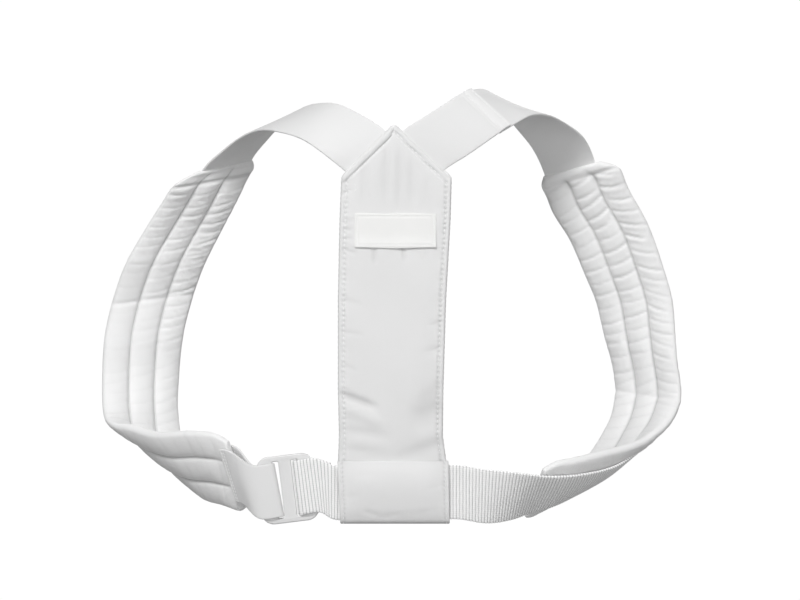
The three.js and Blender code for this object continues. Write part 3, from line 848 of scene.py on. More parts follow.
class Sheet:
    """A node tree under construction, with short calls for its nodes and links."""

    def __init__(self, tree: NodeTree) -> None:
        """Starts on an empty tree."""
        self.tree = tree
        self.column = 0

    def node(
        self,
        kind: str,
        settings: dict[str, object] | None = None,
        inputs: dict[str | int, Given] | None = None,
    ) -> Node:
        """Adds a node.

        Args:
            kind: The node's type.
            settings: Its properties by name.
            inputs: Values or output sockets, by the input's name or number.

        Returns:
            The node.
        """
        made = self.tree.nodes.new(kind)
        made.location = (self.column, 0)
        self.column += NODE_STEP
        for name, value in (settings or {}).items():
            setattr(made, name, value)
        for name, value in (inputs or {}).items():
            socket = made.inputs[name]
            if isinstance(value, NodeSocket):
                self.tree.links.new(value, socket)
            else:
                socket.default_value = value
        return made

    def math(self, operation: str, *values: Given) -> NodeSocket:
        """Adds a Math node and returns its result."""
        made = self.node("ShaderNodeMath", {"operation": operation}, dict(enumerate(values)))
        return made.outputs[0]

    def scaled(self, vector: Given, factor: Given) -> NodeSocket:
        """Adds a node that scales a vector or a colour, and returns its result."""
        given = {0: vector, "Scale": factor}
        return self.node("ShaderNodeVectorMath", {"operation": "SCALE"}, given).outputs[0]

    def noise(self, vector: Given, scale: float, detail: float) -> NodeSocket:
        """Adds a Noise Texture node and returns its value."""
        given = {"Vector": vector, "Scale": scale, "Detail": detail}
        return self.node("ShaderNodeTexNoise", inputs=given).outputs[0]

    def link(self, source: NodeSocket, target: NodeSocket) -> None:
        """Links two sockets."""
        self.tree.links.new(source, target)


def shader_group(
    name: str, inputs: dict[str, tuple[str, object]], outputs: dict[str, str]
) -> tuple[Sheet, Node, Node]:
    """Starts a shader node group.

    Args:
        name: The group's name.
        inputs: Socket kind and default value by name.
        outputs: Socket kind by name.

    Returns:
        The sheet, its input node and its output node.
    """
    tree = bpy.data.node_groups.new(name, "ShaderNodeTree")
    for socket, (kind, value) in inputs.items():
        made = tree.interface.new_socket(socket, in_out="INPUT", socket_type=kind)
        if value is not None:
            made.default_value = value
    for socket, kind in outputs.items():
        tree.interface.new_socket(socket, in_out="OUTPUT", socket_type=kind)
    sheet = Sheet(tree)
    return sheet, sheet.node("NodeGroupInput"), sheet.node("NodeGroupOutput")


FLOAT, VECTOR, COLOUR = "NodeSocketFloat", "NodeSocketVector", "NodeSocketColor"
MATERIAL = "NodeSocketMaterial"

# How round threads are, and how narrow the painted shade is in the gaps and in the lines between
# them
THREAD_ROUND = 0.5
GAP_NARROW = 3.0
LINE_NARROW = 2.0

# The cloth's slow and fine unevenness, in waves for each metre
SLOW_SCALE = 38.0
FINE_SCALE = 900.0
SLOW_SHARE = 0.7


def weave_group() -> NodeTree:
    """Threads over and under each other.

    Returns:
        A group that puts out their height, the gaps and the lines across.
    """
    pitch = (FLOAT, 0.5 * MM)
    sheet, given, result = shader_group(
        "thread_weave",
        {"Vector": (VECTOR, None), "Pitch Along": pitch, "Pitch Across": pitch},
        {"Height": FLOAT, "Gap": FLOAT, "Line": FLOAT},
    )
    parts = sheet.node("ShaderNodeSeparateXYZ", inputs={0: given.outputs["Vector"]}).outputs
    waves = []
    for part, pitch in zip(parts, ("Pitch Along", "Pitch Across")):
        turns = sheet.math("DIVIDE", part, given.outputs[pitch])
        waves.append(sheet.math("SINE", sheet.math("MULTIPLY", turns, math.pi)))
    warp, weft = [sheet.math("ABSOLUTE", wave) for wave in waves]
    sign = sheet.math("SIGN", sheet.math("MULTIPLY", *waves))
    over = sheet.math("ADD", sheet.math("MULTIPLY", sign, 0.5), 0.5)
    under = sheet.math("SUBTRACT", 1.0, over)
    top = sheet.math("MULTIPLY", over, sheet.math("POWER", warp, THREAD_ROUND))
    low = sheet.math("MULTIPLY", under, sheet.math("POWER", weft, THREAD_ROUND))
    height = sheet.math("ADD", top, low)
    gap = sheet.math("POWER", sheet.math("SUBTRACT", 1.0, height), GAP_NARROW)
    line = sheet.math("POWER", sheet.math("SUBTRACT", 1.0, warp), LINE_NARROW)
    for name, socket in (("Height", height), ("Gap", gap), ("Line", line)):
        sheet.link(socket, result.inputs[name])
    return sheet.tree


def mottle_group() -> NodeTree:
    """Slow and fine unevenness of cloth.

    Returns:
        A group that puts out a tint, a roughness and a height.
    """
    sheet, given, result = shader_group(
        "cloth_mottle",
        {
            "Vector": (VECTOR, None),
            "Colour": (COLOUR, (0.8, 0.8, 0.8, 1.0)),
            "Shade": (FLOAT, 0.04),
            "Roughness": (FLOAT, 0.85),
        },
        {"Colour": COLOUR, "Roughness": FLOAT, "Height": FLOAT},
    )
    slow = sheet.noise(given.outputs["Vector"], SLOW_SCALE, 3.0)
    fine = sheet.noise(given.outputs["Vector"], FINE_SCALE, 2.0)
    parts = [sheet.math("MULTIPLY", slow, SLOW_SHARE), sheet.math("MULTIPLY", fine, 1 - SLOW_SHARE)]
    uneven = sheet.math("SUBTRACT", sheet.math("ADD", *parts), 0.5)
    shade = sheet.math("MULTIPLY", uneven, given.outputs["Shade"])
    tint = sheet.scaled(given.outputs["Colour"], sheet.math("ADD", 1.0, shade))
    rough = sheet.math("ADD", given.outputs["Roughness"], sheet.math("MULTIPLY", shade, 2.0))
    for name, socket in (("Colour", tint), ("Roughness", rough), ("Height", fine)):
        sheet.link(socket, result.inputs[name])
    return sheet.tree


class Coordinates(Enum):
    """What a finish's pattern follows."""

    FLAT_CLOTH = "UV"
    OBJECT = "Object"


SHEEN_ROUGHNESS = 0.5


@dataclass(frozen=True)
class Finish:
    """A woven or moulded surface.

    Attributes:
        slot: The record's slot that it belongs to.
        colour: Base colour, linear.
        pitch: Threads' pitches along and across, or none where the surface isn't woven.
        thread_depth: Height of the threads.
        fuzz_depth: Height of the fine unevenness.
        shade: How much the tint wanders.
        painted_gap_shade: How much painted shade darkens the gaps between threads.
        sheen: Weight of the cloth's soft sheen.
        coordinates: What the pattern follows.
        painted_rib_shade: How much painted shade darkens the lines between two ribs.
        painted_crease_shade: How much painted shade darkens the cloth in its seams, puckers and
            creases.
        specular: Strength of the plain reflection.
    """

    name: str
    slot: str
    colour: tuple[float, float, float]
    roughness: float
    pitch: tuple[float, float] | None = (0.6 * MM, 0.6 * MM)
    thread_depth: float = 0.05 * MM
    fuzz_depth: float = 0.02 * MM
    shade: float = 0.03
    painted_gap_shade: float = 0.1
    sheen: float = 0.1
    coordinates: Coordinates = Coordinates.FLAT_CLOTH
    painted_rib_shade: float = 0.0
    painted_crease_shade: float = 0.0
    specular: float = 0.35

    def build(self, groups: dict[str, NodeTree]) -> Material:
        """Builds the material.

        Args:
            groups: The shared shader groups by name.

        Returns:
            The material.
        """
        made = bpy.data.materials.new(self.name)
        made.use_nodes = True
        sheet = Sheet(made.node_tree)
        shader = made.node_tree.nodes["Principled BSDF"]
        vector = sheet.node("ShaderNodeTexCoord").outputs[self.coordinates.value]
        mottle = sheet.node(
            "ShaderNodeGroup",
            {"node_tree": groups["mottle"]},
            {
                "Vector": vector,
                "Colour": (*self.colour, 1.0),
                "Shade": self.shade,
                "Roughness": self.roughness,
            },
        )
        colour = mottle.outputs["Colour"]
        height = sheet.math("MULTIPLY", mottle.outputs["Height"], self.fuzz_depth)
        if self.pitch is not None:
            weave = sheet.node(
                "ShaderNodeGroup",
                {"node_tree": groups["weave"]},
                {"Vector": vector, "Pitch Along": self.pitch[0], "Pitch Across": self.pitch[1]},
            )
            threads = sheet.math("MULTIPLY", weave.outputs["Height"], self.thread_depth)
            height = sheet.math("ADD", height, threads)
            # Painted shade: darker colour in the gaps between threads and in the lines between
            # ribs.
            dark = sheet.math("MULTIPLY", weave.outputs["Gap"], self.painted_gap_shade)
            if self.painted_rib_shade:
                line = sheet.math("MULTIPLY", weave.outputs["Line"], self.painted_rib_shade)
                dark = sheet.math("ADD", dark, line)
            colour = sheet.scaled(colour, sheet.math("SUBTRACT", 1.0, dark))
        # Painted shade: darker colour where the "crease" attribute marks seams, puckers and
        # creases.
        if self.painted_crease_shade:
            shade_mask = sheet.node("ShaderNodeAttribute", {"attribute_name": "crease"}).outputs["Fac"]
            dark = sheet.math("MULTIPLY", shade_mask, self.painted_crease_shade)
            colour = sheet.scaled(colour, sheet.math("SUBTRACT", 1.0, dark))
        bump = sheet.node(
            "ShaderNodeBump", inputs={"Strength": 1.0, "Distance": 1.0, "Height": height}
        )
        sheet.link(colour, shader.inputs["Base Color"])
        sheet.link(mottle.outputs["Roughness"], shader.inputs["Roughness"])
        sheet.link(bump.outputs[0], shader.inputs["Normal"])
        shader.inputs["Sheen Weight"].default_value = self.sheen
        shader.inputs["Sheen Roughness"].default_value = SHEEN_ROUGHNESS
        shader.inputs["Specular IOR Level"].default_value = self.specular
        return made


PANEL_CLOTH = Finish(
    "panel_cotton", "panel_cloth", (0.77, 0.77, 0.77), 0.85,
    fuzz_depth=0.04 * MM, shade=0.05, painted_crease_shade=0.4,
)
PAD_CLOTH = Finish(
    "pad_cotton", "pad_cloth", (0.85, 0.85, 0.85), 0.88,
    fuzz_depth=0.05 * MM, shade=0.05, sheen=0.12, painted_crease_shade=0.5,
)
ELASTIC = Finish(
    "elastic_weave", "elastic", (0.74, 0.74, 0.74), 0.7,
    pitch=(1.2 * MM, 0.6 * MM), painted_gap_shade=0.06, sheen=0.05,
)
# A lighter copy of the elastic, for a painted highlight on the lap band.
LAP_HIGHLIGHT_ELASTIC = replace(ELASTIC, name="elastic_painted_highlight", colour=(0.8, 0.8, 0.8))
WEBBING = Finish(
    "belt_webbing", "webbing", (0.92, 0.92, 0.92), 0.75,
    pitch=(2.3 * MM, 1.5 * MM), thread_depth=0.15 * MM, fuzz_depth=0.03 * MM,
    shade=0.04, painted_gap_shade=0.4, sheen=0.05, painted_rib_shade=0.42,
)
LABEL_CLOTH = Finish(
    "label_satin", "label_cloth", (0.83, 0.83, 0.82), 0.6,
    pitch=(0.4 * MM, 0.8 * MM), thread_depth=0.03 * MM, painted_gap_shade=0.08,
)
THREAD = Finish(
    "sewing_thread", "panel_cloth", (0.84, 0.84, 0.84), 0.6,
    pitch=None, coordinates=Coordinates.OBJECT,
)
PLASTIC = replace(
    THREAD, name="moulded_plastic", slot="buckle_plastic", colour=(0.7, 0.7, 0.7),
    roughness=0.38, fuzz_depth=0.01 * MM, shade=0.02, sheen=0.0, specular=0.5,
)


class Wardrobe:
    """Builds each finish once, and dresses pieces in them."""

    def __init__(self) -> None:
        """Builds the shared shader groups."""
        self.groups = {"weave": weave_group(), "mottle": mottle_group()}
        self.made: dict[str, Material] = {}

    def material(self, finish: Finish) -> Material:
        """Looks up the material of a finish, and builds it the first time.

        Args:
            finish: The finish.

        Returns:
            Its material.
        """
        if finish.name not in self.made:
            self.made[finish.name] = finish.build(self.groups)
        return self.made[finish.name]

    def dress(self, piece: Object, finish: Finish, slot: str | None = None) -> None:
        """Gives a piece its finish, and ties it to the body.

        Args:
            piece: The finished piece.
            finish: What it is made of.
            slot: Not used.
        """
        piece.data.materials.clear()
        piece.data.materials.append(self.material(finish))
        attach(piece, "root")
        log.info("%s: %d faces", piece.name, len(piece.data.polygons))


def geometry_tree(name: str, inputs: dict[str, tuple[str, object]]) -> tuple[Sheet, Node]:
    """Starts a geometry node tree with one geometry in and one out.

    Args:
        name: The tree's name.
        inputs: Socket kind and default value by name.

    Returns:
        The sheet and its input node.
    """
    tree = bpy.data.node_groups.new(name, "GeometryNodeTree")
    tree.interface.new_socket("Geometry", in_out="INPUT", socket_type="NodeSocketGeometry")
    tree.interface.new_socket("Geometry", in_out="OUTPUT", socket_type="NodeSocketGeometry")
    for socket, (kind, value) in inputs.items():
        made = tree.interface.new_socket(socket, in_out="INPUT", socket_type=kind)
        if value is not None:
            made.default_value = value
    sheet = Sheet(tree)
    return sheet, sheet.node("NodeGroupInput")


def close_tree(
    sheet: Sheet, geometry: NodeSocket, material: NodeSocket
) -> None:
    """Ends a geometry tree in realized instances and a material.

    Args:
        sheet: The tree's sheet.
        geometry: What the tree made.
        material: The material to give it.
    """
    real = sheet.node("GeometryNodeRealizeInstances", inputs={0: geometry})
    painted = sheet.node(
        "GeometryNodeSetMaterial", inputs={"Geometry": real.outputs[0], "Material": material}
    )
    sheet.node("NodeGroupOutput", inputs={0: painted.outputs[0]})


def grown(
    obj: Object, tree: NodeTree, values: dict[str, object]
) -> Object:
    """Runs a geometry tree on an object and keeps the result as its plain mesh.

    Args:
        obj: The object whose mesh the tree takes.
        tree: The tree.
        values: The tree's inputs by name.

    Returns:
        The object.
    """
    modifier = obj.modifiers.new("grown", "NODES")
    modifier.node_group = tree
    for item in tree.interface.items_tree:
        if item.item_type == "SOCKET" and item.in_out == "INPUT" and item.name in values:
            modifier[item.identifier] = values[item.name]
    graph = bpy.context.evaluated_depsgraph_get()
    old = obj.data
    obj.data = bpy.data.meshes.new_from_object(obj.evaluated_get(graph))
    obj.modifiers.clear()
    bpy.data.meshes.remove(old)
    return obj


def stitch_tree() -> NodeTree:
    """Stitches laid end to end along the edges of a mesh.

    Returns:
        The tree, whose inputs are the stitches' sizes and material.
    """
    sheet, given = geometry_tree(
        "stitch_row",
        {
            "Pitch": (FLOAT, 3.6 * MM),
            "Stitch Length": (FLOAT, 2.6 * MM),
            "Thread Radius": (FLOAT, 0.3 * MM),
            "Material": (MATERIAL, None),
        },
    )
    curve = sheet.node("GeometryNodeMeshToCurve", inputs={0: given.outputs["Geometry"]})
    even = sheet.node(
        "GeometryNodeResampleCurve",
        {"mode": "LENGTH"},
        {"Curve": curve.outputs[0], "Length": given.outputs["Pitch"]},
    )
    tangent = sheet.node("GeometryNodeInputTangent")
    turn = sheet.node(
        "FunctionNodeAlignRotationToVector", {"axis": "X"}, {"Vector": tangent.outputs[0]}
    )
    bead = sheet.node(
        "GeometryNodeMeshUVSphere", inputs={"Segments": 8, "Rings": 5, "Radius": 1.0}
    )
    half = sheet.math("MULTIPLY", given.outputs["Stitch Length"], 0.5)
    size = sheet.node(
        "ShaderNodeCombineXYZ",
        inputs={0: half, 1: given.outputs["Thread Radius"], 2: given.outputs["Thread Radius"]},
    )
    placed = sheet.node(
        "GeometryNodeInstanceOnPoints",
        inputs={
            "Points": even.outputs[0],
            "Instance": bead.outputs["Mesh"],
            "Rotation": turn.outputs[0],
            "Scale": size.outputs[0],
        },
    )
    smooth = sheet.node("GeometryNodeSetShadeSmooth", inputs={0: placed.outputs[0]})
    close_tree(sheet, smooth.outputs[0], given.outputs["Material"])
    return sheet.tree


# How round the webbing's ribs are, and the share of their height that lies inside the band
RIB_ROUND = 0.6
RIB_SINK = 0.7


def rib_tree() -> NodeTree:
    """Ribs across a band, raised off its faces by the distance along it.

    Returns:
        The tree, whose inputs are the ribs' pitch and height and the material.
    """
    sheet, given = geometry_tree(
        "webbing_ribs",
        {
            "Rib Pitch": (FLOAT, 2.3 * MM),
            "Rib Height": (FLOAT, 0.3 * MM),
            "Material": (MATERIAL, None),
        },
    )
    along = sheet.node(
        "GeometryNodeInputNamedAttribute", {"data_type": "FLOAT"}, {"Name": "along"}
    ).outputs["Attribute"]
    turn = sheet.math("MULTIPLY", sheet.math("DIVIDE", along, given.outputs["Rib Pitch"]), math.pi)
    ridge = sheet.math("POWER", sheet.math("ABSOLUTE", sheet.math("SINE", turn)), RIB_ROUND)
    proud = sheet.math("SUBTRACT", ridge, RIB_SINK)
    height = sheet.math("MULTIPLY", proud, given.outputs["Rib Height"])
    normal = sheet.node("GeometryNodeInputNormal")
    moved = sheet.node(
        "GeometryNodeSetPosition",
        inputs={
            "Geometry": given.outputs["Geometry"],
            "Offset": sheet.scaled(normal.outputs[0], height),
        },
    )
    close_tree(sheet, moved.outputs[0], given.outputs["Material"])
    return sheet.tree


# Share of the pitch that a stitch's thread shows
STITCH_SHARE = 0.74


class Needle:
    """Sews rows of stitches along lines."""

    def __init__(self, wardrobe: Wardrobe) -> None:
        """Builds the tree that lays the stitches."""
        self.wardrobe = wardrobe
        self.tree = stitch_tree()

    def sew(
        self,
        name: str,
        lines: Sequence[Array],
        slot: str,
        pitch: float = 3.6 * MM,
        radius: float = 0.28 * MM,
    ) -> Object:
        """Sews stitches along lines.

        Args:
            name: The name of the stitches' object.
            lines: Points along each line, from the panel's plane.
            slot: The record's slot that they belong to.
            pitch: Distance from one stitch to the next.
            radius: The thread's radius.

        Returns:
            The stitches.
        """
        rows = polylines(name, lines)
        values = {
            "Pitch": pitch,
            "Stitch Length": STITCH_SHARE * pitch,
            "Thread Radius": radius,
            "Material": self.wardrobe.material(THREAD),
        }
        grown(rows, self.tree, values)
        self.wardrobe.dress(rows, THREAD, slot)
        return rows


class Fold(NamedTuple):
    """A soft crease on a cloth: its two ends, its depth and its half width, in millimetres."""

    x: float
    z: float
    to_x: float
    to_z: float
    depth: float
    half: float


def folded(folds: Sequence[Fold], x: Array, z: Array) -> Array:
    """How far creases press the cloth in.

    Args:
        folds: The creases.
        x: Places across.
        z: Places up.

    Returns:
        The depth at each place, below zero on a ridge.
    """
    depth = np.zeros_like(x)
    for fold in folds:
        start = np.array([fold.x, fold.z]) * MM
        line = np.array([fold.to_x, fold.to_z]) * MM - start
        length = np.linalg.norm(line)
        along = ((x - start[0]) * line[0] + (z - start[1]) * line[1]) / length
        aside = ((z - start[1]) * line[0] - (x - start[0]) * line[1]) / length
        taper = smoothstep(along / length * 2.5 + 0.5) * smoothstep((1 - along / length) * 2)
        depth += fold.depth * MM * hollow(aside, fold.half * MM) * taper
    return depth


PANEL_FOLDS = [Fold(*row) for row in (
    (-21, -34, -22, -72, 0.4, 3),
    (-6, -28, -7, -72, 0.5, 3),
    (4, -30, 3, -74, 0.6, 2.6),
    (12, -36, 12, -72, 0.5, 3),
    (24, -46, 22, -72, 0.2, 3),
    (-37, -59, -28, -54, 0.6, 1.6),
    (-36, -78, -27, -76, 0.35, 1.3),
    (-36, -84, -28, -83, 0.35, 1.3),
    (-36, -90, -28, -89, 0.4, 1.3),
    (-36, -97, -24, -101, 0.35, 1.6),
    (-14, -96, -13, -110, 0.8, 1.8),
    (6, -96, 8, -108, 0.7, 1.8),
    (22, -99, 20, -106, 0.25, 1.6),
    (-36, -132, -20, -136, 0.25, 2),
    (-36, -155, -18, -157, 0.35, 2),
    (34, -148, 22, -151, 0.25, 2),
    (33, -166, 17, -170, 0.35, 2.5),
    (-36, -177, -24, -183, 0.25, 2),
    (-37, -198, -8, -209, 1.5, 2.8),
    (-32, -208, -2, -222, -1.0, 4.5),
    (34, -190, 14, -206, 0.6, 5),
    (33, -205, 8, -217, 1.1, 7),
    (-37, -223, 4, -228, 0.5, 3.6),
    (-30, -231, 6, -238, -0.5, 4.5),
    (-36, -237, -10, -238, 0.3, 2.6),
    (35, -232, -6, -244, 0.6, 4),
    (34, -225, 10, -231, -0.5, 4.5),
)]
TUNNEL_FOLDS = [Fold(*row) for row in (
    (-28, -255, -8, -253, 0.2, 3),
    (-22, -280, -8, -284, 0.4, 2),
    (-9, -284, 8, -281, 0.35, 2),
    (30, -279, 8, -283, 0.3, 2.6),
    (-34, -270, -22, -268, 0.25, 2.6),
    (34, -262, 22, -265, 0.25, 2.6),
)]


@dataclass
class Panel:
    """The padded back panel with its point. Places on it are x across and z up.

    Attributes:
        crown_run: Distance from the edge over which the padding rises.
        sink: How far the cloth lies under its full height everywhere.
        seam: Distance of the topstitching from the edge.
        hem_gap: Distance from the hem to its stitches.
        corner_soft: Softness of the corners between the point and the sides.
        scallop: How far each stitch draws the edge in.
        tack: Size of the square of stitches at the left corner.
        second_row: Distance between the two rows on the right slope.
        painted_low_shade: How much painted shade darkens the cloth toward the tunnel, more on the
            right.
        painted_low_shade_run: Height over which it does.
    """

    edge_round: float = 2.0 * MM
    edge_share: float = 0.25
    crown: float = 0.7 * MM
    crown_run: float = 16 * MM
    sink: float = 0.3 * MM
    seam: float = 4.0 * MM
    groove: float = 0.6 * MM
    back_groove: float = 0.4 * MM
    pucker: float = 0.3 * MM
    ripple: float = 0.25 * MM
    hem: float = 4.4 * MM
    hem_roll: float = 0.9 * MM
    hem_gap: float = 0.6 * MM
    hem_groove: float = 0.4 * MM
    wander: float = 0.4 * MM
    back_wander: float = 0.3 * MM
    tip_round: float = 2.2 * MM
    corner_soft: float = 0.9 * MM
    scallop: float = 0.25 * MM
    tack: float = 6 * MM
    second_row: float = 2.4 * MM
    stitch: float = 3.6 * MM
    thread: float = 0.26 * MM
    painted_low_shade: float = 0.16
    painted_low_shade_run: float = 60 * MM
    spacing: float = 0.85 * MM

    @property
    def foot(self) -> float:
        """Height of the panel's lower edge, inside the tunnel."""
        return PADDING_FOOT - 1.0 * MM

    def half_width(self, z: Number, left: bool) -> Number:
        """Half of the panel's width, its point left out.

        Args:
            z: Heights.
            left: Whether it is the half on the left.

        Returns:
            The half width at each height.
        """
        stops, *shares = zip(*PANEL_SIDES)
        down = np.clip((PEAK_FOOT - z) / (PEAK_FOOT - PADDING_FOOT), 0, 1)
        return PANEL_HALF * np.interp(down, stops, shares[0 if left else 1])

    def outline(self, z: Array, left: bool) -> Array:
        """The panel's edge, with its point and its rounded corners.

        Args:
            z: Heights.
            left: Whether it is the left edge.

        Returns:
            The edge's distance from the middle at each height.
        """
        side = self.half_width(z, left) - self.scallop * np.sin(z / self.stitch * math.pi) ** 2
        drop = np.maximum(-PEAK_DROP - z, 0.0)
        rise = drop * float(self.half_width(PEAK_FOOT, left)) / PEAK_RISE
        point = np.sqrt(rise * rise + 2 * self.tip_round * drop)
        soft = self.corner_soft
        return -soft * np.logaddexp(-side / soft, -point / soft)

    def edge_distance(self, x: Array, z: Array) -> Array:
        """Distance from the panel's nearest edge, the foot left out.

        Args:
            x: Places across.
            z: Places up.

        Returns:
            The distance at each place, zero outside.
        """
        sides = np.minimum(x + self.half_width(z, True), self.half_width(z, False) - x)
        slopes = self.below_slope(-np.abs(x), z, self.tip_round / 2)
        return np.maximum(np.minimum(sides, slopes), 0.0)

    def below_slope(self, x: Array, z: Array, raised: float = 0.0) -> Array:
        """Distance under the left slope, or under that slope raised by some height."""
        lean = PANEL_HALF / math.hypot(PANEL_HALF, PEAK_RISE)
        return (raised - PEAK_DROP - z + x * PEAK_RISE / PANEL_HALF) * lean

    def rounding(self, edge: Array) -> Array:
        """Share of the full height at a distance from the edge, along a quarter circle."""
        inset = 1 - np.minimum(edge / self.edge_round, 1)
        return np.sqrt(np.clip(1 - inset**2, 0, 1))

    def hem_mask(self, x: Array, z: Array) -> Array:
        """Where the left slope's rolled hem is, from 0 to 1."""
        fade = 3 * MM
        return smoothstep(-x / fade) * smoothstep((z - PEAK_FOOT + fade) / fade)

    def along_seam(self, x: Array, z: Array) -> Array:
        """Distance along the topstitching, on the sides and on the slopes."""
        return z + 0.7 * np.abs(x) * (z > PEAK_FOOT)

    def beat(self, x: Array, z: Array) -> Array:
        """A wave from -1 to 1 that keeps time with the topstitching."""
        return np.cos(self.along_seam(x, z) / self.stitch * 2 * math.pi)

    def relief(self, x: Array, z: Array) -> Array:
        """How far the cloth stands off the panel's middle plane in front.

        Args:
            x: Places across.
            z: Places up.

        Returns:
            The height at each place.
        """
        edge = self.edge_distance(x, z)
        slope = self.below_slope(x, z)
        on_hem = self.hem_mask(x, z)
        height = PANEL_THICKNESS / 2 * lerp(self.edge_share, 1.0, self.rounding(edge))
        height += self.crown * smoothstep(edge / self.crown_run) - self.sink
        sewn = 1 - on_hem * hollow(slope - self.seam, 4 * MM)
        depth = self.groove + self.pucker * self.beat(x, z)
        height -= sewn * depth * hollow(edge - self.seam, 1.1 * MM)
        along = self.along_seam(x, z)
        ripple = np.sin(along / (7.3 * MM) + 3 * x) * np.sin(along / (4.1 * MM) + 1)
        height += self.ripple * ripple * hollow(edge - self.seam - 2 * MM, 3.5 * MM)
        roll = np.sqrt(np.clip(1 - (2 * slope / self.hem - 1) ** 2, 0, 1))
        inside = hollow(slope - self.hem - self.hem_gap, 0.8 * MM)
        height += (self.hem_roll * roll - self.hem_groove * inside) * on_hem
        broad = np.sin(x / (13 * MM) + z / (31 * MM)) * np.sin(z / (17 * MM) - x / (40 * MM))
        return height + self.wander * broad - folded(PANEL_FOLDS, x, z)

    def painted_shade_mask(self, x: Array, z: Array) -> Array:
        """Painted shade between the stitches, in the creases and above the tunnel.

        Args:
            x: Places across.
            z: Places up.

        Returns:
            The mask, from 0 to 1.
        """
        beat = 0.5 + 0.5 * self.beat(x, z)
        rightward = smoothstep(x / PANEL_WIDTH + 0.5)
        near = hollow(self.edge_distance(x, z) - self.seam, 0.8 * MM)
        # Painted shade in the stitches' dents (deeper on the right), in the creases, and growing
        # toward the tunnel.
        stitches = (0.12 + 0.5 * beat * rightward) * near
        deep = 0.25 * np.maximum(folded(PANEL_FOLDS, x, z), 0) / MM
        low = smoothstep((PADDING_FOOT + self.painted_low_shade_run - z) / self.painted_low_shade_run)
        return stitches + deep + self.painted_low_shade * low * lerp(0.55, 1.0, rightward)

    def grid(self) -> tuple[Array, Array, Array]:
        """Lays rows and columns over the panel, closer together near its edges.

        Returns:
            Places across, places up, and the columns' shares from -1 to 1.
        """
        top = -PEAK_DROP - 0.02 * MM
        even = np.linspace(0, 1, round((top - self.foot) / self.spacing))
        z = top - (top - self.foot) * lerp(even**2, even, 0.85)
        even = np.linspace(-1, 1, round(PANEL_WIDTH / self.spacing))
        columns = lerp(even, np.sin(even * math.pi / 2), 0.35)
        left, right = self.outline(z, True)[:, None], self.outline(z, False)[:, None]
        x = (right - left) / 2 + columns[None, :] * (right + left) / 2
        return x, np.repeat(z[:, None], len(columns), 1), columns

    def build(self, wardrobe: Wardrobe, needle: Needle) -> None:
        """Builds the panel and its topstitching.

        Args:
            wardrobe: The finishes.
            needle: What sews the stitches.
        """
        x, z, columns = self.grid()
        edge = self.edge_distance(x, z)
        back = PANEL_THICKNESS / 2 * self.rounding(edge)
        back -= self.back_groove * hollow(edge - self.seam, 1.3 * MM)
        back -= self.back_wander * np.sin(x / (11 * MM) - 1) * np.sin(z / (19 * MM) + x / (30 * MM))
        inner = (np.abs(columns) < 1).astype(float)[None, :]
        out = np.stack([x, -self.relief(x, z) * inner, z], -1)
        body = np.stack([x, back * inner, z], -1)
        flat = np.stack([x, z], -1)
        shade_mask = self.painted_shade_mask(x, z)
        panel = shell("back_panel_cloth", body, out, flat, creases=(0.5 * shade_mask, shade_mask))
        wardrobe.dress(panel, PANEL_CLOTH)
        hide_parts("back_panel")
        needle.sew("panel_topstitch", self.seam_lines(), "panel_cloth", self.stitch, self.thread)

    def seam_lines(self) -> list[Array]:
        """Lays the lines of the topstitching on the cloth in front.

        Returns:
            Points along each line.
        """
        lean = math.hypot(PANEL_HALF, PEAK_RISE) / PANEL_HALF
        heights = np.linspace(PEAK_FOOT - self.seam / 2, self.foot, 240)
        left = np.stack([self.seam - self.half_width(heights, True), heights], -1)
        right = np.stack([self.half_width(heights, False) - self.seam, heights], -1)
        tip = np.array([0.0, -PEAK_DROP + self.tip_round / 2 - self.seam * lean])
        hem = np.array([0.0, -PEAK_DROP - (self.hem + self.hem_gap) * lean])
        square = np.array([[0, 0], [1, 0], [1, -1], [0, -1], [0, 0]]) * self.tack + left[0]
        slopes = [np.linspace(tip, right[0], 60), np.linspace(hem, left[0], 60)]
        second = np.linspace(tip, right[0], 40) - np.array([0.0, self.second_row])
        placed = []
        for line in (left, right, *slopes, second, square):
            x, z = line.T
            placed.append(np.stack([x, -self.relief(x, z) + 0.1 * MM, z], -1))
        return placed


